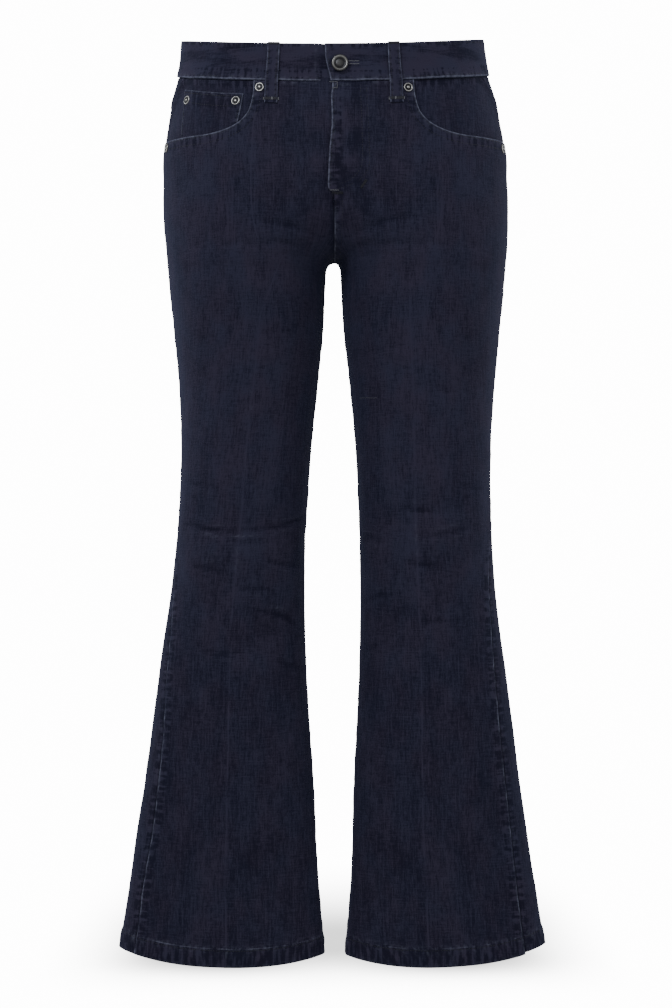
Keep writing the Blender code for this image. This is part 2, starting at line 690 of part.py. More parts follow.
def make_waistband(collection, material):
    """One strip from its hidden right end, round the back, to its lapped left end."""
    start = -1 - BAND_TUCK / (2 * WAIST_HALF_LENGTH)
    end = 1 + BAND_LAP / (2 * WAIST_HALF_LENGTH)

    def place(a, b, depth):
        where = start + (end - start) * a
        side = np.where(where < 0, -1.0, 1.0)
        turns = 1 - 2 * np.abs(where)
        top = np.where(side > 0, band_top(1.0, turns), band_top(-1.0, turns))
        away = (turns + 1) * WAIST_HALF_LENGTH
        hidden = 1 - smooth_step((away - BAND_LAP - 1) / BAND_FADE)
        lift = BAND_LIFT - (BAND_CLOTH + LAYER_GAP) * np.where(side < 0, hidden, 0)
        return raised(side, turns, top + BAND_HEIGHT * b - SEAM_HALF_DROP * b,
                      lift - depth * BAND_CLOTH)

    return make_slab("waistband", BAND_COLUMNS, BAND_ROWS, place, collection, material)


def make_loop(name, side, turn_top, turn_bottom, collection, material):
    """A belt loop that stands off the waistband and ends on the panel below it."""
    def place(a, b, depth):
        turns = turn_top + (turn_bottom - turn_top) * b
        turns = turns + (a - 0.5) * LOOP_WIDTH / WAIST_HALF_LENGTH
        top = band_top(side, turns) - LOOP_ABOVE
        length = LOOP_ABOVE + BAND_HEIGHT + LOOP_BELOW
        seam = (LOOP_ABOVE + BAND_HEIGHT) / length
        lower = smooth_step((b - seam) / LOOP_FADE)
        base = BAND_LIFT + (SCOOP_LIFT - BAND_LIFT) * lower + LAYER_GAP
        lift = base + LOOP_BOW * np.sin(np.pi * b) + LOOP_CLOTH
        return raised(side, turns, top + length * b, lift - depth * LOOP_CLOTH)

    return make_slab(name, LOOP_COLUMNS, LOOP_ROWS, place, collection, material)


def spin(name, profile, steps, collection, material):
    """A turned piece: a profile of (radius, height) pairs, top to bottom, with a Screw."""
    mesh = bpy.data.meshes.new(name)
    points = [(radius * MILLIMETRE, 0.0, height * MILLIMETRE) for radius, height in profile]
    mesh.from_pydata(points, [(i, i + 1) for i in range(len(points) - 1)], [])
    mesh.materials.append(material)
    thing = bpy.data.objects.new(name, mesh)
    collection.objects.link(thing)
    screw = thing.modifiers.new("turn", "SCREW")
    screw.axis = "Z"
    screw.steps = steps
    screw.render_steps = steps
    screw.use_merge_vertices = True
    screw.merge_threshold = 0.00001
    screw.use_smooth_shade = True
    return thing


def stand_on(thing, point, normal):
    """Put a turned piece's axis on a point of the cloth, along its outward direction."""
    thing.location = Vector(point) * MILLIMETRE
    thing.rotation_euler = Vector(normal).to_track_quat("Z", "Y").to_euler()


def make_rivet(name, side, turn, drop, cloth_lift, collection, material):
    radius = RIVET_RADIUS
    height = RIVET_HEIGHT
    profile = ((0.0, height), (0.16 * radius, 0.98 * height), (0.3 * radius, 0.8 * height),
               (0.36 * radius, 0.45 * height), (0.62 * radius, 0.42 * height),
               (0.84 * radius, 0.5 * height), (0.97 * radius, 0.34 * height),
               (radius, 0.12 * height), (0.96 * radius, 0.0), (0.0, 0.0))
    thing = spin(name, profile, RIVET_STEPS, collection, material)
    turns = np.array([float(turn)])
    drops = np.array([float(drop)])
    point = raised(side, turns, drops, cloth_lift + LAYER_GAP)[0]
    stand_on(thing, point, outward(side, turns, drops)[0])


def make_button(collection, material):
    """A plain shank button with a rolled rim and a shallow dished face."""
    radius = BUTTON_RADIUS
    height = BUTTON_HEIGHT
    profile = ((0.0, 0.86 * height), (0.3 * radius, 0.84 * height), (0.55 * radius, 0.8 * height),
               (0.68 * radius, 0.84 * height), (0.8 * radius, height),
               (0.92 * radius, 0.97 * height), (radius, 0.8 * height),
               (0.97 * radius, 0.64 * height), (0.84 * radius, 0.54 * height),
               (0.42 * radius, 0.5 * height), (0.36 * radius, 0.2 * height),
               (0.42 * radius, 0.0), (0.0, 0.0))
    thing = spin("waist_button", profile, BUTTON_STEPS, collection, material)
    turns = np.array([-1 + BUTTON_X / WAIST_HALF_LENGTH])
    drops = np.array([BUTTON_DROP])
    point = raised(1, turns, drops, BAND_LIFT + LAYER_GAP)[0]
    stand_on(thing, point, outward(1, turns, drops)[0])


def main():
    clear_scene()
    jeans = new_collection("bootcut_jeans")
    denim = new_material("denim", DENIM, 0.85, 0.0)
    band_denim = new_material("band_denim", BAND_DENIM, 0.85, 0.0)
    metal = new_material("dark_metal", DARK_METAL, 0.35, 1.0)
    for side in (1, -1):
        make_front(side, jeans, denim)
        make_back(side, jeans, denim)
        make_yoke(side, jeans, denim)
        make_facing(side, jeans, denim)
    make_waistband(jeans, band_denim)
    for name, (side, turn_top, turn_bottom) in LOOPS.items():
        make_loop(name, side, turn_top, turn_bottom, jeans, band_denim)
    for name, (side, turn, drop, lift) in RIVETS.items():
        make_rivet(name, side, turn, drop, lift, jeans, metal)
    make_button(jeans, metal)


main()
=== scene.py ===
import math
import bpy
import numpy as np
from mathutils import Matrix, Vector


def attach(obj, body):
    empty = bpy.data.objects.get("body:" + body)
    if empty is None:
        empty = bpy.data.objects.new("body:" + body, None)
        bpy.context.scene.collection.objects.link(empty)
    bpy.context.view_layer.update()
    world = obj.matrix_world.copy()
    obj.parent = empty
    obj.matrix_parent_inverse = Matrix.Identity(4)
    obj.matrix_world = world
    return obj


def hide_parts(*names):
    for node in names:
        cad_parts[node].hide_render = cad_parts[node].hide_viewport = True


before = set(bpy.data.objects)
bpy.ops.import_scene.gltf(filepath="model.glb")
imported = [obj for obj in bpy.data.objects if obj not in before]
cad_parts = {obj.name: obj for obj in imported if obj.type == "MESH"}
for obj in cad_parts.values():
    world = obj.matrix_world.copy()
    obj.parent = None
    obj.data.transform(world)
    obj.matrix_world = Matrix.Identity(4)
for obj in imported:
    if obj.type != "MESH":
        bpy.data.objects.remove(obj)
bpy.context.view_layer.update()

mm = 0.001
print("frame loaded")

# The form of the jeans. A place on it is a side (+1 the wearer's left), a turn (-1 the middle of
# the front or the inseam's front, 0 the side, +1 the middle of the back or the inseam's back)
# and a drop below the waist, in millimetres.

blendWidth = 8.0      # how far apart the halves are when they start to part
crotchDrop = 230.0
legsFrom = 232.0      # below this drop each leg has its own inner seam
frontWidth = 235.0    # half girths, by which millimetres across the cloth become turns
backWidth = 245.0
legWidth = 250.0
sideWidth = 220.0
facingWidth = 230.0
hemRow = 17.8         # from the hem's edge to its row of stitches
scoopEnd = 116.0      # the drop below which the side seam is closed
farOff = 99.0         # a distance at which a seam has no effect on the denim
noWear = 30.0         # the same for a worn edge
sectionColumns = ("drop", "outerRight", "outerLeft", "innerRight", "innerLeft",
                  "front", "back", "shift", "roundness")
sections = (
    (-25, 156.0, 153.0, -156.0, -153.0, 100, 116, 0, 2.15),
    (5, 157.8, 154.9, -157.8, -154.9, 102, 118, 0, 2.15),
    (20, 158.6, 157.0, -158.6, -157.0, 103, 119, 0, 2.15),
    (38, 161.6, 160.4, -160.0, -158.8, 104, 121, 0, 2.2),
    (62, 167.8, 168.0, -155.0, -155.0, 107, 125, 0, 2.25),
    (85, 171.2, 172.4, -140.0, -140.0, 110, 129, 0, 2.3),
    (105, 174.2, 176.2, -122.0, -122.0, 112, 133, 0, 2.35),
    (145, 176.8, 179.7, -82.0, -82.0, 113, 137, 0, 2.35),
    (170, 177.1, 180.9, -57.0, -57.0, 111, 137, 0, 2.35),
    (190, 176.6, 180.5, -38.0, -38.0, 108, 134, 0, 2.3),
    (212, 174.8, 179.7, -15.0, -15.0, 104, 128, 1, 2.3),
    (222, 173.9, 179.2, -2.0, -2.0, 102, 125, 1, 2.25),
    (230, 173.2, 178.4, 8.0, 8.0, 101, 122, 1, 2.25),
    (236, 172.7, 177.9, 10.8, 9.9, 100, 119, 1, 2.25),
    (244, 171.9, 177.2, 11.7, 10.6, 98, 116, 2, 2.2),
    (262, 170.1, 175.6, 12.5, 11.2, 95, 111, 2, 2.2),
    (300, 166.0, 171.9, 14.0, 13.0, 87, 101, 3, 2.15),
    (355, 161.1, 167.0, 18.6, 18.2, 77, 88, 4, 2.1),
    (415, 158.9, 163.8, 24.3, 23.4, 69, 76, 5, 2.1),
    (475, 160.7, 163.0, 28.4, 26.5, 64, 67, 6, 2.1),
    (540, 166.1, 166.0, 31.6, 28.3, 59, 62, 7, 2.1),
    (600, 173.6, 171.2, 31.5, 28.7, 55, 59, 8, 2.15),
    (690, 185.6, 182.1, 28.1, 26.2, 50, 54, 8, 2.2),
    (770, 196.6, 192.7, 22.7, 22.2, 46, 49, 8, 2.2),
    (855, 209.3, 205.0, 19.2, 20.3, 42, 45, 8, 2.25),
    (935, 222.7, 219.6, 13.7, 15.3, 39, 41, 8, 2.3),
    (975, 229.4, 226.6, 11.2, 13.0, 38, 40, 8, 2.3),
)
sideSeam = (           # drop, turn on the wearer's right, turn on the left
    (30, -0.24, -0.24), (48, -0.19, -0.19), (64, -0.12, -0.12), (100, -0.02, -0.02),
    (140, 0.0, 0.0), (480, 0.0, 0.0), (525, -0.046, -0.1), (560, -0.09, -0.145),
    (600, -0.125, -0.158), (660, -0.143, -0.166), (730, -0.156, -0.163),
    (800, -0.152, -0.157), (880, -0.132, -0.158), (975, -0.128, -0.16),
)
scoop = (              # turn, drop
    (-0.635, 58), (-0.64, 72), (-0.632, 87), (-0.6, 98.5), (-0.53, 106.5), (-0.43, 110.3),
    (-0.3, 110.5), (-0.15, 110.0), (-0.02, 111.0),
)
waistEdge = {"level": -0.8, "lean": -0.005, "tilt": -0.15, "curve": 0.00058}
hemEdge = {"outerLeft": 939.5, "outerRight": 941.8, "innerLeft": 949.8, "innerRight": 948.8,
           "dip": 12.8, "power": 2.4}
arcSteps = 97


def smoothStep(value):
    value = np.clip(value, 0.0, 1.0)
    return value * value * (3.0 - 2.0 * value)


def fallOff(value, start, width):
    # from 1 to 0 over the width past the start
    return 1 - smoothStep((value - start) / width)


def rolled(distance, reach=0.7):
    # how much an edge rolls over, by the distance from it
    return np.exp(-np.maximum(distance, 0) / reach)


def handName(side):
    return "left" if side > 0 else "right"


def curveValue(knots, values, at):
    # a smooth curve through the values that doesn't overshoot them
    knots = np.asarray(knots, float)
    values = np.asarray(values, float)
    steps = np.diff(knots)
    rises = np.diff(values) / steps
    slopes = np.zeros(len(knots))
    slopes[0] = rises[0]
    slopes[-1] = rises[-1]
    same = rises[:-1] * rises[1:] > 0
    weightA = 2 * steps[1:] + steps[:-1]
    weightB = steps[1:] + 2 * steps[:-1]
    before = np.where(same, rises[:-1], 1.0)
    after = np.where(same, rises[1:], 1.0)
    slopes[1:-1] = np.where(same, (weightA + weightB) / (weightA / before + weightB / after), 0)
    at = np.clip(at, knots[0], knots[-1])
    row = np.clip(np.searchsorted(knots, at, side="right") - 1, 0, len(steps) - 1)
    width = steps[row]
    t = (at - knots[row]) / width
    start = (1 + 2 * t) * (1 - t) ** 2 * values[row] + t * (1 - t) ** 2 * width * slopes[row]
    end = t * t * (3 - 2 * t) * values[row + 1] + t * t * (t - 1) * width * slopes[row + 1]
    return start + end


def section(name, side, drop):
    knots = [row[0] for row in sections]
    if name in ("outer", "inner"):
        right = [row[sectionColumns.index(name + "Right")] for row in sections]
        left = [row[sectionColumns.index(name + "Left")] for row in sections]
        return np.where(side > 0, curveValue(knots, left, drop), curveValue(knots, right, drop))
    return curveValue(knots, [row[sectionColumns.index(name)] for row in sections], drop)


def halfCurves(side, turn, drop):
    # the half section through each place, as points and the lengths between them
    outer = section("outer", side, drop)
    inner = section("inner", side, drop)
    power = section("roundness", side, drop)
    depth = np.where(turn < 0, -section("front", side, drop), section("back", side, drop))
    middle = (outer + inner) / 2
    half = (outer - inner) / 2
    end = np.clip((blendWidth - middle) / half, -1, 1)
    last = np.arccos(np.sign(end) * np.abs(end) ** (power / 2))
    angle = last[:, None] * np.linspace(0, 1, arcSteps)[None, :]
    cosine = np.cos(angle)
    sine = np.abs(np.sin(angle))
    exponent = (2 / power)[:, None]
    lobe = middle[:, None] + half[:, None] * np.sign(cosine) * np.abs(cosine) ** exponent
    x = np.sqrt(np.maximum(lobe ** 2 - blendWidth ** 2, 0))
    y = section("shift", side, drop)[:, None] + depth[:, None] * sine ** exponent
    return x, y, np.hypot(np.diff(x, axis=1), np.diff(y, axis=1))


def surface(side, turn, drop):
    side, turn, drop = np.broadcast_arrays(np.asarray(side, float), turn, drop)
    beyond = np.abs(turn) > 1
    folded = np.sign(turn) * (2 - np.abs(turn))
    parted = section("inner", side, drop) > blendWidth
    turn = np.where(beyond, np.where(parted, -folded, folded), turn)
    side = np.where(beyond & ~parted, -side, side)
    x, y, length = halfCurves(side, turn, drop)
    travelled = np.concatenate([np.zeros((len(x), 1)), np.cumsum(length, axis=1)], axis=1)
    target = np.abs(turn) * travelled[:, -1]
    step = np.clip((travelled < target[:, None]).sum(axis=1) - 1, 0, arcSteps - 2)
    pick = np.arange(len(x))
    part = (target - travelled[pick, step]) / np.maximum(length[pick, step], 1e-9)
    x = x[pick, step] + part * (x[pick, step + 1] - x[pick, step])
    y = y[pick, step] + part * (y[pick, step + 1] - y[pick, step])
    return np.stack([side * x, y, -drop], axis=1)


def outward(side, turn, drop):
    turnStep = 0.008
    dropStep = 1.0
    along = surface(side, turn + turnStep, drop) - surface(side, turn - turnStep, drop)
    down = surface(side, turn, drop + dropStep) - surface(side, turn, drop - dropStep)
    normal = np.cross(down, along) * np.broadcast_to(side, turn.shape)[:, None]
    return normal / np.linalg.norm(normal, axis=1)[:, None]


lengthDrops = np.concatenate([np.arange(-25.0, 222.0, 4.0), np.arange(223.0, 243.0, 0.5),
                              np.arange(243.0, 976.0, 4.0)])
halfLengths = {}
for hand in (1.0, -1.0):
    for face in (1.0, -1.0):
        arcs = halfCurves(np.full(lengthDrops.shape, hand), np.full(lengthDrops.shape, face),
                          lengthDrops)[2]
        halfLengths[hand, face] = arcs.sum(axis=1)


creaseRight = ((217, 292, 426, 600, 785, 940), (-0.66, -0.557, -0.512, -0.487, -0.5, -0.526))
creaseLeft = ((230, 350, 460, 680, 830, 960), (-0.56, -0.55, -0.555, -0.563, -0.583, -0.58))


def creaseTurn(side, drop):
    # where the line pressed into the front of each leg runs
    drops, turns = creaseLeft if side > 0 else creaseRight
    return np.interp(drop, drops, turns)


def grainArcs(hand, face):
    # the length from the side to the straight thread that the grain is measured from
    drops = np.maximum(lengthDrops, 300)
    turns = creaseTurn(hand, drops) if face < 0 else np.full(drops.shape, 0.53)
    target = np.abs(surface(hand, turns, drops)[:, 0])
    x, y, length = halfCurves(np.full(drops.shape, hand), np.full(drops.shape, face), lengthDrops)
    travelled = np.concatenate([np.zeros((len(x), 1)), np.cumsum(length, axis=1)], axis=1)
    return np.array([np.interp(-goal, -row, arc) for goal, row, arc in zip(target, x, travelled)])


grainTable = {}
for hand in (1.0, -1.0):
    for face in (1.0, -1.0):
        grainTable[hand, face] = grainArcs(hand, face)


def clothAcross(side, turn, drop):
    # how far across the grain each place lies, in millimetres
    result = np.abs(turn) * halfLength(side, turn, drop)
    side = np.broadcast_to(side, turn.shape)
    for (hand, face), arcs in grainTable.items():
        here = ((side > 0) == (hand > 0)) & ((turn > 0) == (face > 0))
        result = np.where(here, (result - np.interp(drop, lengthDrops, arcs)) * face, result)
    return result


def halfLength(side, turn, drop):
    side = np.broadcast_to(side, turn.shape)
    result = np.zeros(turn.shape)
    for (hand, face), lengths in halfLengths.items():
        here = (side > 0) == (hand > 0)
        here = here & ((turn > 0) == (face > 0))
        result = np.where(here, np.interp(drop, lengthDrops, lengths), result)
    return result


def bandTop(side, turn):
    place = surface(side, turn, np.full(turn.shape, 20.0))
    x, y = place[:, 0], place[:, 1]
    edge = waistEdge
    return edge["level"] + edge["lean"] * x + edge["tilt"] * y + edge["curve"] * y * y


def belowBand(side, turn, drop):
    return drop - bandTop(side, turn) - bandHeight


def hemDrop(side, turn):
    hand = "Left" if side > 0 else "Right"
    level = np.full(turn.shape, 940.0)
    place = surface(side, turn, level)
    outer = surface(side, np.zeros(1), level[:1])[0, 0]
    inner = surface(side, np.ones(1), level[:1])[0, 0]
    share = (place[:, 0] - outer) / (inner - outer)
    depth = np.where(turn < 0, section("front", side, level), section("back", side, level))
    swell = np.abs(place[:, 1] - section("shift", side, level)) / depth
    outerLevel, innerLevel = hemEdge["outer" + hand], hemEdge["inner" + hand]
    drop = outerLevel + (innerLevel - outerLevel) * share
    return drop + hemEdge["dip"] * swell ** hemEdge["power"]


def seamTurn(side, drop):
    column = 2 if side > 0 else 1
    return curveValue([row[0] for row in sideSeam], [row[column] for row in sideSeam], drop)


def scoopLine(side, count):
    stops = np.linspace(0, 1, len(scoop))
    fine = np.linspace(0, 1, 160)
    turns = curveValue(stops, [row[0] for row in scoop], fine)
    drops = curveValue(stops, [row[1] for row in scoop], fine)
    waist = bandTop(side, turns[:1])[0] + bandHeight - cloth["scoopRise"]
    drops = drops + (waist - drops[0]) * (1 - fine) ** 3
    return evenPlaces(side, turns, drops, count)


def evenPlaces(side, turns, drops, count):
    points = surface(side, turns, drops)
    travelled = np.concatenate([[0], np.cumsum(np.linalg.norm(np.diff(points, axis=0), axis=1))])
    wanted = np.linspace(0, travelled[-1], count)
    return np.interp(wanted, travelled, turns), np.interp(wanted, travelled, drops)


def lineDistance(turn, drop, turns, drops):
    # how far each place lies from a line, in millimetres on the flat cloth
    start = np.stack([turns[:-1] * frontWidth, drops[:-1]], axis=1)
    run = np.stack([turns[1:] * frontWidth, drops[1:]], axis=1) - start
    place = np.stack([turn * frontWidth, drop], axis=1)
    best = np.full(len(turn), 1e9)
    for first, step in zip(start, run):
        share = np.clip(((place - first) @ step) / max(step @ step, 1e-9), 0, 1)
        best = np.minimum(best, np.linalg.norm(place - first - share[:, None] * step, axis=1))
    return best


def valueNoise(x, seed):
    table = np.random.RandomState(seed).uniform(-1, 1, 4096)
    low = np.floor(x).astype(int)
    part = smoothStep(x - low)
    return table[low % 4096] * (1 - part) + table[(low + 1) % 4096] * part


def valueNoise2(x, y, seed):
    table = np.random.RandomState(seed).uniform(-1, 1, (128, 128))
    i = np.floor(x).astype(int)
    j = np.floor(y).astype(int)
    u = smoothStep(x - i)
    v = smoothStep(y - j)
    upper = table[i % 128, j % 128] * (1 - u) + table[(i + 1) % 128, j % 128] * u
    lower = table[i % 128, (j + 1) % 128] * (1 - u) + table[(i + 1) % 128, (j + 1) % 128] * u
    return upper * (1 - v) + lower * v


# Soft folds and creases, a row each: side, from turn and drop, to turn and drop, how far the
# middle bows down, half width and depth. A depth below 0 is a hollow.

foldPlane = 215.0
broadFolds = (
    (-1, -0.72, 505, -0.2, 490, 15, -2.6), (-1, -0.62, 545, -0.3, 530, 13, 1.6),
    (-1, -0.85, 600, -0.45, 625, 15, -2.2), (1, -0.3, 478, -0.8, 500, 15, -2.4),
    (1, -0.25, 530, -0.6, 548, 14, -1.8), (1, -0.45, 600, -0.8, 585, 15, -1.8),
    (-1, 0.2, 470, 0.75, 492, 16, -3.4), (-1, 0.3, 530, 0.8, 515, 15, -2.6),
    (1, 0.25, 480, 0.8, 468, 16, -3.4), (1, 0.2, 520, 0.72, 540, 15, -2.6),
    (-1, 0.35, 262, 0.85, 285, 15, -2.4), (1, 0.4, 285, 0.85, 262, 15, -2.4),
)
creaseRows = (
    (-1, -0.12, 500, -0.6, 508, 3, 3.6, -1.3), (-1, -0.55, 507, -0.96, 490, 2, 4.0, -1.0),
    (-1, -0.4, 516, -0.72, 520, 2, 4.5, -0.8), (-1, -0.5, 566, -0.72, 569, 1, 4.0, -0.9),
    (-1, -0.58, 590, -0.88, 606, -3, 4.5, -1.1), (-1, -0.32, 629, -0.6, 631, 3, 4.0, -0.8),
    (-1, -0.2, 545, -0.45, 552, -2, 5.0, -0.7), (-1, -0.62, 536, -0.9, 546, 2, 4.5, -0.8),
    (-1, -0.7, 640, -0.93, 655, 0, 5.0, -0.7), (-1, -0.15, 455, -0.42, 462, 2, 5.0, -0.6),
    (1, -0.64, 483, -0.44, 486, 2, 4.0, -0.9), (1, -0.62, 541, -0.42, 545, 2, 4.0, -0.8),
    (1, -0.2, 500, -0.55, 512, 3, 4.5, -0.8), (1, -0.7, 520, -0.95, 508, 2, 4.5, -0.9),
    (1, -0.66, 572, -0.9, 584, -3, 5.0, -0.8), (1, -0.3, 596, -0.6, 602, 2, 5.0, -0.6),
    (1, -0.7, 620, -0.93, 634, 0, 5.0, -0.6), (1, -0.15, 466, -0.4, 458, 2, 5.0, -0.6),
    (-1, -0.95, 214, -0.62, 196, -4, 5.5, -0.9), (-1, -0.94, 226, -0.5, 222, -4, 6.0, -0.8),
    (1, -0.95, 212, -0.64, 194, -4, 5.5, -0.9), (1, -0.94, 226, -0.52, 220, -4, 6.0, -0.8),
    (-1, -0.8, 300, -0.5, 306, 2, 5.0, -0.4), (1, -0.84, 322, -0.52, 318, 2, 5.0, -0.4),
    (1, -0.5, 360, -0.3, 366, 1, 5.0, -0.4), (-1, -0.66, 372, -0.36, 378, 1, 5.0, -0.4),
    (-1, 0.15, 480, 0.7, 486, 5, 5.0, -1.8), (-1, 0.35, 500, 0.92, 494, 4, 5.0, -1.5),
    (-1, 0.1, 518, 0.55, 528, 4, 4.5, -1.3), (-1, 0.4, 548, 0.85, 540, 3, 5.0, -1.1),
    (-1, 0.2, 452, 0.6, 446, -3, 5.0, -1.0), (-1, 0.3, 580, 0.7, 588, 2, 5.0, -0.7),
    (1, 0.12, 474, 0.72, 482, 5, 5.0, -1.8), (1, 0.3, 506, 0.9, 496, 4, 5.0, -1.5),
    (1, 0.1, 526, 0.5, 534, 4, 4.5, -1.2), (1, 0.42, 556, 0.86, 546, 3, 5.0, -1.1),
    (1, 0.25, 446, 0.64, 440, -3, 5.0, -1.0), (1, 0.28, 590, 0.66, 596, 2, 5.0, -0.7),
    (-1, 0.5, 258, 0.95, 268, 5, 6.0, -1.6), (-1, 0.4, 284, 0.9, 292, 5, 6.0, -1.3),
    (-1, 0.3, 312, 0.75, 318, 4, 6.0, -0.9), (1, 0.5, 262, 0.95, 266, 5, 6.0, -1.6),
    (1, 0.38, 288, 0.9, 290, 5, 6.0, -1.3), (1, 0.3, 316, 0.72, 324, 4, 6.0, -0.9),
)


def broadFoldLift(side, turn, drop):
    lift = np.zeros(len(turn))
    for hand, turnA, dropA, turnB, dropB, width, depth in broadFolds:
        start = np.array([turnA * foldPlane, dropA])
        run = np.array([turnB * foldPlane, dropB]) - start
        place = np.stack([turn * foldPlane, drop], axis=1) - start
        middle = np.clip(place @ run / (run @ run), 0.25, 0.75)
        gap = np.linalg.norm(place - middle[:, None] * run, axis=1)
        across = np.abs(place @ np.array([-run[1], run[0]])) / np.linalg.norm(run)
        beyond = np.sqrt(np.maximum(gap ** 2 - across ** 2, 0)) / np.linalg.norm(run) * 2
        shape = np.exp(-(across / width) ** 2 - beyond ** 2 * 4)
        lift += np.where(side == hand, depth * shape, 0)
    return lift


def creaseLift(side, turn, drop):
    lift = np.zeros(len(turn))
    for number, (hand, turnA, dropA, turnB, dropB, bow, width, depth) in enumerate(creaseRows):
        start = np.array([turnA * foldPlane, dropA])
        run = np.array([turnB * foldPlane, dropB]) - start
        length = np.linalg.norm(run)
        place = np.stack([turn * foldPlane, drop], axis=1) - start
        along = place @ run / length ** 2
        wander = 1.6 * valueNoise(along * length / 22 + 7 * number, 11)
        across = place @ np.array([-run[1], run[0]]) / length
        across = across * np.sign(run[0]) - bow * 4 * along * (1 - along) - wander
        taper = np.clip(1 - np.abs(2 * along - 1), 0, 1) ** 0.6
        q = across / width
        shape = (1 - 0.9 * q * q) * np.exp(-q * q) * taper
        lift += np.where(side == hand, 1.7 * depth * shape, 0)
    return lift


def puckers(along, away, reach, period, seed):
    # short ripples that run off a seam and die away from it
    wave = valueNoise(along / period + 0.15 * away / period, seed)
    wave = 0.65 * wave + 0.35 * valueNoise(along / period * 2.3, seed + 1)
    return wave * np.exp(-np.maximum(away, 0) / reach)


# Cloth layers: how far each one's outer face lies outside the form, in millimetres.

cloth = {"thickness": 1.1, "patch": 1.0, "facingLeft": -1.6, "facingRight": -2.7,
         "tucked": -1.25, "scoop": 0.9, "scoopRise": 1.4, "fly": 1.0, "backPocket": 1.7,
         "pucker": 0.5}
bandHeight = 38.0
band = {"thickness": 2.6, "lift": 1.7, "lap": 9.2, "tuck": 22.0, "fade": 9.0,
        "halfLength": 215.0, "columns": 360, "rows": 26, "gridSize": (880, 38)}
fly = {"tuck": 12.0, "fade": 14.0, "end": 164.0, "closed": 176.0, "flat": 192.0,
       "halfLength": 235.0, "stitched": 34.0}


def flyLap(drop):
    # how far the fly's lapped edge runs past the middle
    return np.interp(drop, (58, 67, 74, 90, 104, 124, 141.5, 163),
                     (1.6, 1.9, 3.0, 2.2, 2.2, 4.2, 5.2, 6.0))


def bandLap(share):
    # the same for the end of the waistband, from its top edge to its lower one
    return np.interp(share, (0, 0.35, 0.62, 0.82, 1), (9.2, 8.8, 6.6, 4.4, 3.2))


def commonLift(side, turn, drop):
    # what all the large pieces share: folds, creases, soft unevenness and the flare of the legs
    soft = 0.5 * valueNoise2(turn * 5.2 + 9 * side, drop / 55, 5)
    soft += 0.22 * valueNoise2(turn * 14 + 3 * side, drop / 21, 6)
    quiet = smoothStep((1 - np.abs(turn)) * 12)
    flare = np.exp(-(turn / 0.22) ** 2) * smoothStep((drop - 560) / 90)
    soft += 1.4 * flare * fallOff(drop, 870, 50)
    return broadFoldLift(side, turn, drop) + creaseLift(side, turn, drop) + soft * quiet


def atCrotch(turn, drop, lift):
    # near the crotch the four panels meet edge to edge, so nothing lifts them there
    near = 1 - smoothStep(((1 - np.abs(turn)) * frontWidth - 3) / 16)
    height = smoothStep((drop - 178) / 14) * fallOff(drop, 234, 22)
    return lift * (1 - near * height)


def underBand(side, turn, drop, lift):
    # the top edge runs on behind the waistband
    top = belowBand(side, turn, drop)
    share = smoothStep((top + 0.9) / 2.4)
    return lift * share + cloth["tucked"] * (1 - share)


def flyWeight(turn, drop, reach):
    away = (turn + 1) * fly["halfLength"]
    across = 1 - smoothStep((away - reach) / fly["fade"])
    return across * (1 - smoothStep((drop - fly["closed"]) / (fly["flat"] - fly["closed"])))


def hemLift(side, turn, drop, hem):
    across = turn * halfLength(side, turn, drop)
    inBand = fallOff(hem, 18.5, 2.5)
    rope = np.sin(2 * np.pi * (across / 12.5 + hem / 21) + 2 * valueNoise(across / 30, 21))
    lift = inBand * (0.7 + 0.32 * rope * smoothStep((hem + 2) / 8))
    lift -= 0.35 * np.exp(-((hem - 19.5) / 1.3) ** 2)
    lift += puckers(across, np.abs(hem - 19), 7, 9, 31) * 0.4
    return lift - 0.55 * np.exp(-hem / 0.7)


def tuckedUnder(past):
    # the step down of a seam allowance, by how far it has gone past its seam
    return 1.0 * smoothStep(past / 0.8)


def frontLift(side, turn, drop):
    length = halfLength(side, turn, drop)
    seam = (seamTurn(side, drop) - turn) * length
    inseam = (turn + 1) * length
    hem = hemDrop(side, turn) - drop
    mouth = lineDistance(turn, drop, *scoopLine(side, 24))
    lift = cloth["scoop"] * fallOff(mouth, 15, 19)
    lift += cloth["pucker"] * puckers(drop, mouth, 8, 7, 41) * (mouth < 60)
    if side > 0:
        lift = np.maximum(lift, cloth["fly"] * flyWeight(turn, drop, fly["tuck"] + 1))
        stitched = lineDistance(turn, drop, *flyStitch(0.0))
        lift += 0.8 * puckers(drop * 1.3, np.abs(stitched), 9, 8, 43) * (drop < 210)
        lift += 0.5 * puckers(drop, np.maximum(inseam, 0), 6, 9, 44) * (drop < legsFrom)
    else:
        lift -= cloth["fly"] * flyWeight(turn, drop, 6.5)
        lift += 0.35 * puckers(drop, np.maximum(inseam, 0), 9, 9, 45) * (drop < legsFrom)
    below = smoothStep((drop - 112) / 10)
    lift += 0.45 * below * fallOff(seam, 9, 5)
    lift += 0.75 * below * puckers(drop, seam, 9, 8, 47 + int(side))
    lift -= 0.5 * below * rolled(seam)
    legs = smoothStep((drop - legsFrom) / 20)
    lift += legs * (0.4 * fallOff(inseam, 10, 4)
                    + 0.6 * puckers(drop, inseam, 8, 9, 51) - 0.4 * np.exp(-inseam / 0.7))
    pressed = (turn - creaseTurn(side, drop)) * length
    lift += 0.6 * np.exp(-(np.abs(pressed) / 2.6)) * smoothStep((drop - 240) / 150)
    top = belowBand(side, turn, drop)
    lift += 0.5 * puckers(turn * length, top, 8, 9, 53)
    lift = lift + hemLift(side, turn, drop, hem) + commonLift(side, turn, drop)
    lift = atCrotch(turn, drop, lift)
    lift -= tuckedUnder(-inseam) * smoothStep((drop - 168) / 8)
    return underBand(side, turn, drop, lift)


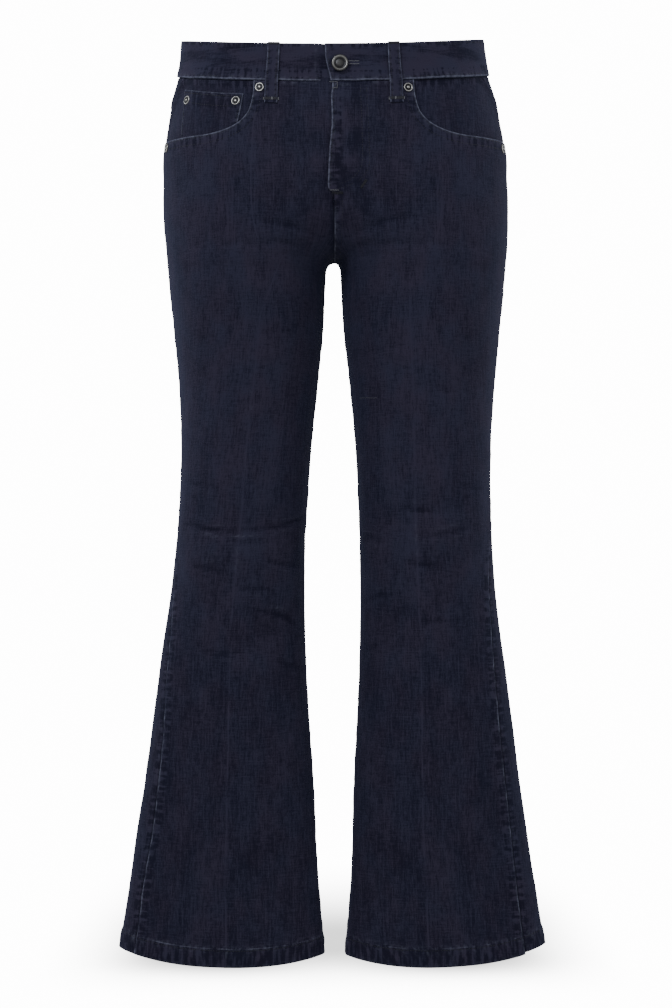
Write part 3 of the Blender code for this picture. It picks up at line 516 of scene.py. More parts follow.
def flyStitch(inset):
    # the curved line of the fly's stitching on the wearer's left front, as turns and drops
    width = fly["stitched"] - inset
    bend = np.linspace(0.1, 1.45, 14)
    drops = np.concatenate([np.linspace(62, 140, 16), 140 + 26 * np.sin(bend)])
    away = np.concatenate([np.full(16, width), width * np.cos(bend)])
    away = np.maximum(away, 1.0)
    return -1 + away / fly["halfLength"], drops - 0.6 * inset * (drops > 140)


def backLift(side, turn, drop):
    length = halfLength(side, np.maximum(turn, 0.001), drop)
    seam = (turn - seamTurn(side, drop)) * length
    inseam = (1 - turn) * length
    hem = hemDrop(side, turn) - drop
    lift = -0.15 * np.exp(-seam / 3) + 0.6 * puckers(drop, seam, 8, 8, 61 + int(side))
    lift -= 0.4 * rolled(seam)
    legs = smoothStep((drop - legsFrom) / 20)
    lift += legs * (0.5 * puckers(drop, inseam, 7, 9, 65) - 0.45 * np.exp(-inseam / 0.7))
    middle = 1 - legs
    lift += middle * (0.4 * (side > 0) * fallOff(inseam, 10, 3)
                      + 0.5 * puckers(drop, inseam, 8, 9, 67) - 0.35 * np.exp(-inseam / 0.7))
    top = drop - yokeDrop(turn)
    lift += 0.45 * puckers(turn * length, top, 7, 8, 69) - 0.4 * rolled(top)
    lift = lift + hemLift(side, turn, drop, hem) + commonLift(side, turn, drop)
    lift = atCrotch(turn, drop, lift)
    edges = np.maximum(tuckedUnder(-inseam), tuckedUnder(-seam))
    return lift - np.maximum(edges, 0.6 * tuckedUnder(-top))


yoke = {"side": 72.0, "middle": 103.0, "columns": 84, "rows": 26, "gridSize": (230, 45)}


def yokeDrop(turn):
    return yoke["side"] + (yoke["middle"] - yoke["side"]) * np.clip(turn, 0, 1)


def yokeLift(side, turn, drop):
    length = halfLength(side, np.maximum(turn, 0.001), drop)
    low = yokeDrop(turn) - drop
    top = belowBand(side, turn, drop)
    lift = 0.5 * fallOff(low, 9, 3) - 0.5 * rolled(low)
    across = turn * length
    lift += 0.45 * puckers(across, low, 7, 8, 71) + 0.4 * puckers(across, top, 7, 9, 73)
    lift -= tuckedUnder((turn - 1) * length) + tuckedUnder((seamTurn(side, drop) - turn) * length)
    return underBand(side, turn, drop, lift + commonLift(side, turn, drop))


def facingLift(side, turn, drop):
    top = belowBand(side, turn, drop)
    base = cloth["facingLeft"] if side > 0 else cloth["facingRight"]
    seam = (seamTurn(side, drop) - turn) * facingWidth
    level = base + (-0.1 - base) * fallOff(seam, 1, 14)
    level += (cloth["tucked"] - level) * fallOff(top, 1, 8)
    level += 0.4 * puckers(turn * sideWidth, top, 7, 8, 75)
    level += 0.3 * puckers(drop, seam, 8, 8, 76)
    return underBand(side, turn, drop, level + commonLift(side, turn, drop))


def bandLift(side, turn, drop):
    away = (turn + 1) * band["halfLength"]
    hidden = 1 - smoothStep((away - band["lap"] - 1) / band["fade"])
    down = drop - bandTop(side, turn)
    low = bandHeight - down
    across = turn * band["halfLength"] * side
    lift = band["lift"] - (band["thickness"] + 0.3) * np.where(side < 0, hidden, 0)
    lift -= 0.7 * rolled(down, 0.8) + 0.5 * rolled(low, 0.8)
    lift += 0.62 * puckers(across, np.abs(low - 2.5), 6, 7, 77)
    lift += 0.3 * puckers(across, np.abs(down - 3), 5, 8, 79)
    lift -= 0.22 * np.exp(-((low - 2.6) / 0.9) ** 2) + 0.2 * np.exp(-((down - 2.8) / 0.9) ** 2)
    return lift + 0.3 * valueNoise(across / 38, 81) + 0.2 * valueNoise2(across / 15, down / 14, 83)


# Meshes of cloth: a fine grid on the form with a plain inside and closed edges.

def edgeStops(count, size):
    # columns or rows, closer at both edges so that they can roll over
    near = np.array([0.0, 0.5, 1.2, 2.2, 3.6]) / size
    return np.concatenate([near, np.linspace(near[-1], 1 - near[-1], count + 2)[1:-1],
                           1 - near[::-1]])


def pieceGrid(values):
    # the places of a piece's grid, from 0 to 1 across and down, and its shape
    across, down = values["gridSize"]
    a, b = np.meshgrid(edgeStops(values["columns"], across), edgeStops(values["rows"], down))
    return a.ravel(), b.ravel(), a.shape


def gridMesh(name, outer, inner, shape, clothMap, values):
    # both faces of the cloth and the rim between them, with the values stored at its points
    rows, columns = shape
    count = rows * columns
    index = np.arange(count).reshape(rows, columns)
    quads = np.stack([index[:-1, :-1], index[1:, :-1], index[1:, 1:], index[:-1, 1:]], axis=-1)
    quads = quads.reshape(-1, 4)
    loop = np.concatenate([index[0, :-1], index[:-1, -1], index[-1, :0:-1], index[:0:-1, 0]])
    following = np.roll(loop, -1)
    rim = np.stack([loop, following, following + count, loop + count], axis=-1)
    faces = np.concatenate([quads, quads[:, ::-1] + count, rim])
    points = np.concatenate([outer, inner]) * mm
    corner = points[faces]
    volume = np.einsum("ij,ij->i", corner[:, 0], np.cross(corner[:, 1], corner[:, 2])).sum()
    volume += np.einsum("ij,ij->i", corner[:, 0], np.cross(corner[:, 2], corner[:, 3])).sum()
    if volume < 0:
        faces = faces[:, ::-1]
    mesh = bpy.data.meshes.new(name)
    mesh.vertices.add(len(points))
    mesh.vertices.foreach_set("co", points.ravel())
    mesh.loops.add(faces.size)
    mesh.loops.foreach_set("vertex_index", faces.ravel().astype(np.int32))
    mesh.polygons.add(len(faces))
    mesh.polygons.foreach_set("loop_start", np.arange(0, faces.size, 4, dtype=np.int32))
    mesh.update(calc_edges=True)
    mesh.shade_smooth()
    layer = mesh.uv_layers.new(name="clothMap")
    both = np.concatenate([clothMap, clothMap])
    layer.data.foreach_set("uv", (both[faces.ravel()] * mm).ravel())
    values = dict(values, inside=None)
    for label, value in values.items():
        attribute = mesh.attributes.new(label, "FLOAT", "POINT")
        pair = (np.zeros(count), np.ones(count)) if value is None else (value, value)
        attribute.data.foreach_set("value", np.concatenate(pair).astype(np.float32))
    return mesh


def clothPiece(node, side, turn, drop, shape, liftFor, thickness, marks):
    # turn and drop are flat arrays over the grid; marks are its values for the denim shader
    lift = liftFor(side, turn, drop)
    base = smoothed(lift, shape)
    under = np.minimum(base, lift) - thickness
    clothMap = np.stack([clothAcross(side, turn, drop), drop], axis=1)
    marks = {"pressed": np.full(turn.shape, farOff), **marks}
    shellPiece(node, side, turn, drop, shape, (lift, base, under), clothMap, marks,
               legDenim)


def shellPiece(node, side, turn, drop, shape, lifts, clothMap, marks, material):
    # lifts: the outer face's, the same without its fine relief, and the inner face's
    lift, base, under = lifts
    name = node + "_cloth"
    plain = surface(side, turn, drop)
    normal = outward(side, turn, drop)
    outer = plain + normal * lift[:, None]
    inner = plain + normal * under[:, None]
    marks["relief"] = lift - base
    measure(name, outer, shape)
    mesh = gridMesh(name, outer, inner, shape, clothMap, marks)
    finishPiece(name, mesh, material, node)


clothSizes = {}


def measure(name, outer, shape):
    # the flat size of a piece, along the rows and columns of its outer face
    grid = outer.reshape(*shape, 3) * mm
    across = np.linalg.norm(np.diff(grid, axis=1), axis=2).sum(axis=1).max()
    down = np.linalg.norm(np.diff(grid, axis=0), axis=2).sum(axis=0).max()
    a, b, c, d = grid[:-1, :-1], grid[:-1, 1:], grid[1:, 1:], grid[1:, :-1]
    area = (np.linalg.norm(np.cross(c - a, d - b), axis=2) / 2).sum()
    clothSizes[name] = (float(across), float(down), float(area))


def smoothed(lift, shape):
    # the lift without what is finer than a few cells of the grid
    grid = lift.reshape(shape)
    for _ in range(5):
        padded = np.pad(grid, 1, mode="edge")
        grid = (padded[:-2, 1:-1] + padded[2:, 1:-1] + padded[1:-1, :-2] + padded[1:-1, 2:]
                + padded[1:-1, 1:-1]) / 5
    return grid.ravel()


def finishPiece(name, mesh, material, node=None):
    piece = bpy.data.objects.new(name, mesh)
    bpy.context.scene.collection.objects.link(piece)
    mesh.materials.clear()
    mesh.materials.append(material)
    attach(piece, "root")
    if node:
        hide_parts(node)
    return piece


# Shader expressions: a socket whose operators add Math nodes.

class Wire:
    def __init__(self, tree, socket):
        self.tree = tree
        self.socket = socket

    def math(self, operation, *others):
        return makeNode(self.tree, "ShaderNodeMath", {"operation": operation}, (self,) + others)

    def __add__(self, other):
        return self.math("ADD", other)

    def __radd__(self, other):
        return self.math("ADD", other)

    def __sub__(self, other):
        return self.math("SUBTRACT", other)

    def __rsub__(self, other):
        return makeNode(self.tree, "ShaderNodeMath", {"operation": "SUBTRACT"}, (other, self))

    def __mul__(self, other):
        return self.math("MULTIPLY", other)

    def __rmul__(self, other):
        return self.math("MULTIPLY", other)

    def __truediv__(self, other):
        return self.math("DIVIDE", other)

    def fade(self, low, high):
        settings = {"interpolation_type": "SMOOTHSTEP"}
        return makeNode(self.tree, "ShaderNodeMapRange", settings,
                        {"Value": self, "From Min": low, "From Max": high}, "Result")


def makeNode(tree, kind, settings, inputs, output=0):
    node = tree.nodes.new(kind)
    for key, value in settings.items():
        setattr(node, key, value)
    pairs = inputs.items() if isinstance(inputs, dict) else enumerate(inputs)
    for key, value in pairs:
        if isinstance(value, Wire):
            tree.links.new(value.socket, node.inputs[key])
        else:
            node.inputs[key].default_value = value
    return Wire(tree, node.outputs[output])


def mixColour(tree, share, first, second):
    return makeNode(tree, "ShaderNodeMix", {"data_type": "RGBA", "blend_type": "MIX"},
                    {0: share, 6: first, 7: second}, 2)


def stretchedNoise(tree, place, alongU, alongV, detail=2.0, shift=0.0):
    vector = makeNode(tree, "ShaderNodeVectorMath", {"operation": "MULTIPLY"},
                      {0: place, 1: (alongU, alongV, 1.0)})
    moved = makeNode(tree, "ShaderNodeVectorMath", {"operation": "ADD"},
                     {0: vector, 1: (shift, shift * 0.7, 0.0)})
    return makeNode(tree, "ShaderNodeTexNoise", {"noise_dimensions": "2D"},
                    {"Vector": moved, "Scale": 1.0, "Detail": detail, "Roughness": 0.55})


# the darkest colour is the painted shade in seam grooves; the worn colour also serves the partly
# painted highlight on raised ridges
denim = {"deep": (0.0092, 0.0094, 0.0230, 1), "pale": (0.0275, 0.0272, 0.0540, 1),
         "worn": (0.140, 0.150, 0.212, 1), "paintedShade": (0.0038, 0.0040, 0.0090, 1),
         "inside": (0.060, 0.066, 0.098, 1), "contrast": 1.15,
         "coolTint": (1.05, 1.07, 1.02, 1), "warmTint": (1.20, 1.06, 0.98, 1),
         "twillStep": 0.00095, "twillSlope": 0.62}
denimSurface = {"Roughness": 0.82, "Specular IOR Level": 0.07, "Sheen Weight": 0.09,
                "Sheen Roughness": 0.5, "Sheen Tint": (0.42, 0.52, 1.0, 1)}
denimNoise = {         # scale across and along the warp, detail and shift
    "slub": (430, 48, 2.0, 4.0), "yarn": (900, 150, 2.0, 1.0), "weft": (80, 700, 2.0, 6.0),
    "grain": (700, 700, 2.0, 2.0), "broad": (60, 13, 2.0, 9.0), "cloud": (24, 20, 2.0, 17.0),
    "downTick": (45, 230, 1.0, 23.0), "sideTick": (230, 45, 1.0, 29.0),
    "thread": (1050, 26, 1.0, 37.0), "hue": (34, 22, 2.0, 43.0), "scuff": (240, 240, 3.0, 13.0),
}
denimStreaks = {"slub": 0.7, "yarn": 0.75, "weft": 0.62, "grain": 0.6, "broad": 0.4,
                "cloud": 0.4}


def newMaterial(name):
    material = bpy.data.materials.new(name)
    material.use_nodes = True
    return material, material.node_tree, material.node_tree.nodes["Principled BSDF"]


def makeDenim(name, lighten, turned=False):
    # turned is for pieces whose warp runs across the body, so that their map is turned too
    material, tree, shader = newMaterial(name)
    place = makeNode(tree, "ShaderNodeUVMap", {"uv_map": "clothMap"}, {})

    def attribute(label):
        return makeNode(tree, "ShaderNodeAttribute", {"attribute_name": label}, {}, "Fac")

    noise = {label: stretchedNoise(tree, place, *row) for label, row in denimNoise.items()}
    slub, yarn, weft, grain = (noise[label] for label in ("slub", "yarn", "weft", "grain"))
    broad, scuff = noise["broad"], noise["scuff"]
    streak = sum(share * (noise[label] - 0.5) for label, share in denimStreaks.items())
    relief = attribute("relief")
    # painted shade: where the relief dips, in the hollows of creases and puckers, it is painted
    # darker
    hollowShade = relief.math("MINIMUM", 0.0) * 0.42
    seamGap, rowGap, level = attribute("seamGap"), attribute("rowGap"), attribute("level")
    if turned:
        level = 1 - level
    downTick = noise["downTick"]
    tick = downTick + (noise["sideTick"] - downTick) * level - 0.5
    seamZone = (1 - rowGap.fade(-1.0, 4.5)) * seamGap.fade(0.2, 1.4)
    # painted shade: the cloth is darker along the rows of stitches, in the dents they pull in
    rowLine = 1 - rowGap.math("ABSOLUTE").fade(0.2, 1.5)
    rowLine = rowLine + (1 - (seamGap - 2.0).math("ABSOLUTE").fade(0.2, 1.2)) * 0.5
    seamTone = seamZone * (tick * 2.9 - 0.06) + rowLine * (tick * 2.2 - 0.30)
    thread = noise["thread"].fade(0.63, 0.74) * 0.34
    pressed = 1 - attribute("pressed").math("ABSOLUTE").fade(0.15, 1.2)
    seamTone = seamTone + thread + pressed * broad.fade(0.38, 0.62) * 0.62
    # fade: wear fading, on the legs with a painted sheen on the outer thighs and painted shade by
    # the crotch seam
    tone = 0.50 + lighten + streak * denim["contrast"] + attribute("fade") * 0.5
    tone = tone + hollowShade + seamTone
    base = mixColour(tree, tone.fade(0.0, 1.0), denim["deep"], denim["pale"])
    tint = mixColour(tree, noise["hue"].fade(0.3, 0.7), denim["coolTint"], denim["warmTint"])
    base = makeNode(tree, "ShaderNodeMix", {"data_type": "RGBA", "blend_type": "MULTIPLY"},
                    {0: 1.0, 6: base, 7: tint}, 2)
    edge = attribute("wearEdge")
    line = (1 - edge.fade(0.55, 1.6)) * (0.55 + 0.45 * scuff.fade(0.35, 0.6))
    halo = (1 - edge.fade(0.5, 6.0)) * scuff.fade(0.42, 0.72) * 0.22
    # raised relief is lightened, partly as wear on ridges and partly as a painted highlight
    ridge = relief.fade(0.16, 0.8) * scuff.fade(0.3, 0.7) * 0.30
    worn = (line * 0.62 + halo + ridge).math("MINIMUM", 1.0)
    colour = mixColour(tree, worn, base, denim["worn"])
    groove = attribute("groove")
    shadow = (1 - groove.fade(0.1, 1.3)) * 0.75
    colour = mixColour(tree, shadow, colour, denim["paintedShade"])
    wrong = attribute("inside")
    pale = mixColour(tree, 0.3 + 0.5 * (grain - 0.5) + 0.5 * (slub - 0.5), base, denim["inside"])
    colour = mixColour(tree, wrong.fade(0.4, 0.9), colour, pale)
    tree.links.new(colour.socket, shader.inputs["Base Color"])
    u = makeNode(tree, "ShaderNodeSeparateXYZ", {}, (place,), "X")
    v = makeNode(tree, "ShaderNodeSeparateXYZ", {}, (place,), "Y")
    twill = ((u + v * denim["twillSlope"]) * (2 * math.pi / denim["twillStep"])).math("SINE")
    height = twill * 0.12 + yarn * 0.9 + slub * 0.9 + grain * 0.8 + weft * 0.4
    bump = makeNode(tree, "ShaderNodeBump", {}, {"Strength": 0.5, "Distance": 0.00045,
                                                "Height": height}, "Normal")
    tree.links.new(bump.socket, shader.inputs["Normal"])
    for label, value in denimSurface.items():
        shader.inputs[label].default_value = value
    return material


def plainMaterial(name, colour, roughness):
    # thread: one colour with a fine unevenness
    material, tree, shader = newMaterial(name)
    place = makeNode(tree, "ShaderNodeTexCoord", {}, {}, "Object")
    noise = makeNode(tree, "ShaderNodeTexNoise", {}, {"Vector": place, "Scale": 900.0})
    low = tuple(0.6 * part for part in colour)
    mixed = mixColour(tree, noise.fade(0.3, 0.7), (*low, 1), (*colour, 1))
    tree.links.new(mixed.socket, shader.inputs["Base Color"])
    shader.inputs["Roughness"].default_value = roughness
    return material


metal = {"oxide": (0.022, 0.022, 0.026, 1), "bare": (0.62, 0.62, 0.60, 1), "rough": 0.34}


def makeMetal():
    # black oxide that has rubbed bright on the raised rings
    material, tree, shader = newMaterial("metalDark")
    place = makeNode(tree, "ShaderNodeTexCoord", {}, {}, "Object")
    fine = makeNode(tree, "ShaderNodeTexNoise", {}, {"Vector": place, "Scale": 700.0})
    polish = makeNode(tree, "ShaderNodeAttribute", {"attribute_name": "polish"}, {}, "Fac")
    share = (polish * (0.55 + 0.9 * fine)).math("MINIMUM", 1.0)
    mixed = mixColour(tree, share, metal["oxide"], metal["bare"])
    tree.links.new(mixed.socket, shader.inputs["Base Color"])
    rough = metal["rough"] + 0.18 * (fine - 0.5)
    tree.links.new(rough.socket, shader.inputs["Roughness"])
    shader.inputs["Metallic"].default_value = 1.0
    return material


legDenim = makeDenim("legDenim", 0.0)
bandDenim = makeDenim("bandDenim", -0.08, True)
loopDenim = makeDenim("loopDenim", 0.0)
threadDark = plainMaterial("threadDark", (0.010, 0.011, 0.022), 0.6)
threadPale = plainMaterial("threadPale", (0.17, 0.175, 0.20), 0.6)
metalDark = makeMetal()
print("materials made")


def legFadeAndSheen(side, turn, drop):
    # where wear has lightened the cloth: seat, thighs, knees and the pressed line,
    # and a painted sheen along the outer thighs
    centre = np.exp(-((np.abs(turn) - 0.52) / 0.3) ** 2)
    thigh = np.exp(-((drop - 300) / 190) ** 2)
    shin = smoothStep((drop - 560) / 160)
    pressed = (turn - creaseTurn(side, drop)) * frontWidth * (turn < 0) + farOff * (turn > 0)
    line = np.exp(-(pressed / 3.4) ** 2) * smoothStep((drop - 250) / 120)
    line = line * (0.55 + 0.45 * valueNoise(drop / 23 + 7 * side, 101))
    knee = centre * np.exp(-((drop - 520) / 60) ** 2)
    # painted sheen: the outer thighs, just off the side seams, are painted lighter
    outer = np.exp(-((np.abs(turn) - 0.16) / 0.07) ** 2) * np.exp(-((drop - 400) / 170) ** 2)
    return 0.36 * centre * thigh - 0.1 * shin + 0.2 * line + 0.22 * knee + 0.3 * outer


# The four leg panels.

panel = {"columns": 66, "rows": 262, "width": 240, "length": 890, "seamGap": 0.03,
         "behindBand": 4.0, "under": 2.5, "underYoke": 7.0, "scoopShare": 0.165,
         "frontRise": 0.285, "backRise": 0.235, "scoopSteps": 60, "riseSteps": 200,
         "longSteps": 400}


def riseUnder(drops):
    # how far the right panels run on under the left ones along the crotch seam
    return panel["under"] * fallOff(drops, 212, 12)


def panelTop(side, front, turns):
    # the drop of a panel's top edge, behind the waistband or under the yoke
    if front:
        return bandTop(side, turns) + bandHeight - panel["behindBand"]
    return yokeDrop(turns) - panel["underYoke"]


def joinedStops(share, first, second):
    # how far down the grid the places of an edge in two parts lie
    return np.concatenate([np.linspace(0, share, first), np.linspace(share, 1, second)[1:]])


def frontEdges(side):
    # the outer edge along the scoop and the side seam, and the rise along the fly
    gap = panel["seamGap"]
    scoopTurns, scoopDrops = scoopLine(side, panel["scoopSteps"])
    sideDrops = np.linspace(scoopDrops[-1], 960, 900)
    hemAt = hemDrop(side, seamTurn(side, np.array([940.0])))[0]
    sideDrops = sideDrops[sideDrops <= hemAt]
    sideTurns = seamTurn(side, sideDrops) - gap / sideWidth
    sideTurns, sideDrops = evenPlaces(side, sideTurns, sideDrops, panel["longSteps"])
    stops = joinedStops(panel["scoopShare"], panel["scoopSteps"], panel["longSteps"])
    outerTurns = np.concatenate([scoopTurns, sideTurns[1:]])
    outerDrops = np.concatenate([scoopDrops, sideDrops[1:]])
    riseDrops = np.linspace(panelTop(side, True, np.array([-1.0]))[0], crotchDrop, 900)
    closed = smoothStep((riseDrops - fly["end"]) / (fly["closed"] - 4 - fly["end"]))
    lap = flyLap(riseDrops) if side > 0 else fly["tuck"]
    riseTurns = -1 - lap / fly["halfLength"] * (1 - closed) + gap / sideWidth * closed
    if side < 0:
        riseTurns = np.minimum(riseTurns, -1 + (gap - riseUnder(riseDrops)) / frontWidth)
    return stops, outerTurns, outerDrops, riseTurns, riseDrops, -1 + gap / sideWidth


def backEdges(side):
    # the same for the back, which runs on under the front panel and under the yoke
    hemAt = hemDrop(side, np.array([-0.13]))[0]
    sideDrops = np.linspace(yoke["side"] - panel["underYoke"], hemAt, 900)
    sideTurns = seamTurn(side, sideDrops) - panel["under"] / sideWidth
    sideTurns, sideDrops = evenPlaces(side, sideTurns, sideDrops, panel["longSteps"])
    stops = np.linspace(0, 1, panel["longSteps"])
    riseDrops = np.linspace(yoke["middle"] - panel["underYoke"], crotchDrop, 900)
    end = 1 - panel["seamGap"] / legWidth
    riseTurns = end + (side < 0) * riseUnder(riseDrops) / backWidth
    return stops, sideTurns, sideDrops, riseTurns, riseDrops, end


def legPanel(side, front):
    # a grid spread between the outer edge, the rise and inner leg, the top and the hem
    name = ("front_panel_" if front else "back_panel_") + handName(side)
    a, b = np.meshgrid(edgeStops(panel["columns"], panel["width"]),
                       edgeStops(panel["rows"], panel["length"]))
    edges = frontEdges(side) if front else backEdges(side)
    stops, outerTurns, outerDrops, riseTurns, riseDrops, end = edges
    riseShare = panel["frontRise"] if front else panel["backRise"]
    hemInner = hemDrop(side, np.array([end]))[0]
    legDrops = np.linspace(crotchDrop, hemInner, 4000)
    legTurns = np.full(legDrops.shape, end)
    riseTurns, riseDrops = evenPlaces(side, riseTurns, riseDrops, panel["riseSteps"])
    legTurns, legDrops = evenPlaces(side, legTurns, legDrops, panel["longSteps"])
    innerStops = joinedStops(riseShare, panel["riseSteps"], panel["longSteps"])
    innerTurns = np.concatenate([riseTurns, legTurns[1:]])
    innerDrops = np.concatenate([riseDrops, legDrops[1:]])
    spread = 0.62 * a + 0.38 * (1 - np.cos(np.pi * a)) / 2
    topTurns = outerTurns[0] + (innerTurns[0] - outerTurns[0]) * spread[0]
    lowTurns = outerTurns[-1] + (innerTurns[-1] - outerTurns[-1]) * spread[0]
    turn = ruled(spread, b, np.interp(b, stops, outerTurns),
                 np.interp(b, innerStops, innerTurns), topTurns, lowTurns).ravel()
    drop = ruled(spread, b, np.interp(b, stops, outerDrops),
                 np.interp(b, innerStops, innerDrops), panelTop(side, front, topTurns),
                 hemDrop(side, lowTurns)).ravel()
    marks = legMarks(side, turn, drop, front)
    clothPiece(name, side, turn, drop, a.shape, frontLift if front else backLift,
               cloth["thickness"], marks)


def ruled(a, b, outer, inner, top, low):
    # a patch blended between its four edges
    corner = ((1 - a) * (1 - b) * top[0] + a * (1 - b) * top[-1]
              + (1 - a) * b * low[0] + a * b * low[-1])
    return (1 - a) * outer + a * inner + (1 - b) * top[None, :] + b * low[None, :] - corner


def legMarks(side, turn, drop, front):
    # wear, grooves for painted shade, fading with some painted sheen and shade in it, and rows of
    # stitches on a leg panel, for the denim shader
    length = halfLength(side, turn, drop)
    hem = hemDrop(side, turn) - drop
    seam = np.abs(turn - seamTurn(side, drop)) * length
    inseam = (1 - np.abs(turn)) * length
    groove = np.minimum(np.where(drop > scoopEnd, seam, 9), np.abs(inseam))
    wear = np.full(turn.shape, noWear)
    pressed = np.full(turn.shape, farOff)
    rows = [(hem, hemRow, 1)]
    if front:
        mouth = lineDistance(turn, drop, *scoopLine(side, 24))
        ridge = np.abs(seam - 1.2)
        broken = 0.9 + 1.3 * valueNoise(drop / 9 + 31 * side, 103)
        wear = np.minimum(wear, mouth * 0.95)
        wear = np.minimum(wear, np.where(drop > 440, ridge * 1.6 + broken * 0.8, noWear))
        pressed = (turn - creaseTurn(side, drop)) * length
        rows.append((mouth, 9.0, smoothStep((turn + 0.66) / 0.1)))
        rows.append((np.where(drop > scoopEnd, ridge, farOff), 6.5, 0))
    dashes = 0.85 + 0.45 * valueNoise(turn * 31 + 7 * side, 113)
    wear = np.minimum(np.minimum(wear, np.abs(hem) + 0.75), np.abs(hem - 19.9) + 1.12 * dashes)
    fade = legFadeAndSheen(side, turn, drop)
    fade = fade - 0.25 * fallOff(hem, 17, 3) + 0.12 * np.exp(-((hem - 22) / 3) ** 2)
    if front and side > 0:
        lapped = np.abs((turn + 1) * fly["halfLength"] + flyLap(drop))
        groove = np.where(drop < fly["end"], 9, groove)
        wear = np.minimum(wear, np.where(drop < fly["end"] + 4, lapped * 0.8, noWear))
        wear = np.minimum(wear, crotchWear(drop, inseam))
        fade = fade + flyFade(turn, drop)
        rows.append((np.where(drop < 200, lapped, farOff), 9.0, 0))
    elif front:
        # painted shade in the valley along the crotch seam below the fly
        paintedShade = np.exp(-(inseam / 4) ** 2) * smoothStep((drop - 172) / 8)
        fade = fade - 0.9 * paintedShade * (1 - smoothStep((drop - legsFrom) / 8))
    else:
        rows.append((np.abs(seam), 5.0, 0))
        rows.append((np.abs(drop - yokeDrop(turn)), 6.0, 1))
        rows.append((np.where(drop < 236, np.abs(inseam), farOff), 8.2, 0))
    rows.append((np.where(drop > legsFrom, np.abs(inseam), farOff), 6.0, 0))
    return {"wearEdge": wear, "groove": groove, "fade": fade, "pressed": pressed,
            **seamRows(turn, rows)}


def crotchWear(drop, inseam):
    # the worn ridge beside the seam between the fly's end and the crotch
    worn = np.abs(inseam - 1.2) * 0.9 + 0.62 + 0.5 * valueNoise(drop / 5 + 3, 105)
    return np.where((drop > 182) & (drop < 236), worn, noWear)


def flyFade(turn, drop):
    # uneven fading of the fly: light patches at its edge and shade beside its stitching
    away = (turn + 1) * fly["halfLength"]
    patch = valueNoise2(away / 6, drop / 10, 107)
    light = np.exp(-((away - 7) / 8) ** 2) * np.clip(1.3 * patch - 0.1, -0.6, 1)
    shade = 0.55 + 0.5 * valueNoise2(away / 8, drop / 20, 109)
    shade = np.exp(-((away - 23) / 11) ** 2) * shade
    fine = 0.35 * valueNoise2(away / 3.5, drop / 4, 115) * np.exp(-(away / 26) ** 2)
    return (0.9 * light - 0.6 * shade + 0.8 * fine) * fallOff(drop, 185, 30)


def seamRows(turn, rows):
    # for the nearest seam: how far off it and its second row of stitches are, and 1 if it is level
    near = np.full(turn.shape, farOff)
    second = np.full(turn.shape, 60.0)
    level = np.zeros(turn.shape)
    for distance, row, flat in rows:
        closer = distance - row < near - np.where(second > 59, 0, near - second)
        near = np.where(closer, distance, near)
        second = np.where(closer, distance - row, second)
        level = np.where(closer, flat, level)
    return {"seamGap": near, "rowGap": second, "level": level}


for hand in (1.0, -1.0):
    for isFront in (True, False):
        legPanel(hand, isFront)
print("leg panels made")


# Yokes, waistband, pocket facings and the pockets laid on them.

def piecewise(a, knots, values):
    # each place's value between the two nearest of its own row's values
    result = values[0] + (values[1] - values[0]) * np.clip(a / knots[1], 0, 1)
    for low in range(1, len(knots) - 1):
        part = np.clip((a - knots[low]) / (knots[low + 1] - knots[low]), 0, 1)
        result = result + (values[low + 1] - values[low]) * part
    return result


def yokePiece(side):
    a, b, shape = pieceGrid(yoke)
    gap = panel["seamGap"]
    end = 1 - gap / sideWidth + (side < 0) * panel["under"] / backWidth
    reach = panel["under"] / sideWidth
    corner = bandTop(side, np.zeros(1)) + bandHeight
    topStart = seamTurn(side, corner) - reach
    lowStart = seamTurn(side, np.array([yoke["side"]])) - reach
    topTurns = topStart + (end - topStart) * a
    lowTurns = lowStart + (end - lowStart) * a
    waist = panelTop(side, True, topTurns)
    drop = waist + (yokeDrop(lowTurns) - gap - waist) * b
    start = topStart + (lowStart - topStart) * b
    shift = (seamTurn(side, drop) - reach - start) * (1 - a)
    turn = topTurns + (lowTurns - topTurns) * b + shift
    low = yokeDrop(turn) - drop
    middle = (1 - turn) * halfLength(side, np.maximum(turn, 0.001), drop)
    top = belowBand(side, turn, drop)
    marks = {"wearEdge": np.minimum(low + 0.3, noWear),
             "groove": np.minimum(np.abs(middle), top), "fade": np.full(turn.shape, 0.05),
             **seamRows(turn, [(low, 8.0, 1), (top, 6.0, 1)])}
    clothPiece("yoke_" + handName(side), side, turn, drop, shape, yokeLift,
               cloth["thickness"], marks)


facing = {"columns": 84, "rows": 48, "gridSize": (170, 70), "lean": 0.72,
          "coinLeft": (-0.25, -0.235, -0.3), "coinRight": (-0.605, -0.592, -0.575),
          "coinTop": 1 / 6, "coinColumns": (2 / 12, 8 / 12)}
facingLow = ((-0.7, 103), (-0.64, 111), (-0.55, 118), (-0.43, 121.5), (-0.3, 121.5),
             (-0.15, 121), (0.0, 122))


def facingPlaces(side, a, b):
    # the facing's grid, whose middle columns are those of the coin pocket
    lowTurns = [row[0] for row in facingLow]
    lowDrops = [row[1] for row in facingLow]
    near, far = facing["coinColumns"]

    def columnTurns(across, down, drops):
        edge = seamTurn(side, drops) - panel["seamGap"] / sideWidth
        stops = (0.0, facing["coinTop"], 1.0)
        left = np.interp(down, stops, facing["coinLeft"])
        right = np.interp(down, stops, facing["coinRight"])
        return piecewise(across, (0, near, far, 1), (edge, left, right, lowTurns[0] + 0 * left))

    corner = bandTop(side, np.zeros(1)) + bandHeight
    topTurns = columnTurns(a, 0 * b, corner + 0 * b)
    low = columnTurns(a, 0 * b + 1, 0 * b + lowDrops[-1])
    waist = panelTop(side, True, topTurns)
    lowest = curveValue(lowTurns, lowDrops, low)
    leaning = facing["lean"] * np.minimum(a / far, 1)
    drop = waist + (lowest - waist) * (b + leaning * b * (1 - b))
    blend = smoothStep(b / 0.06)
    turn = columnTurns(a, b, (corner * (1 - blend) + drop * blend))
    return turn, drop


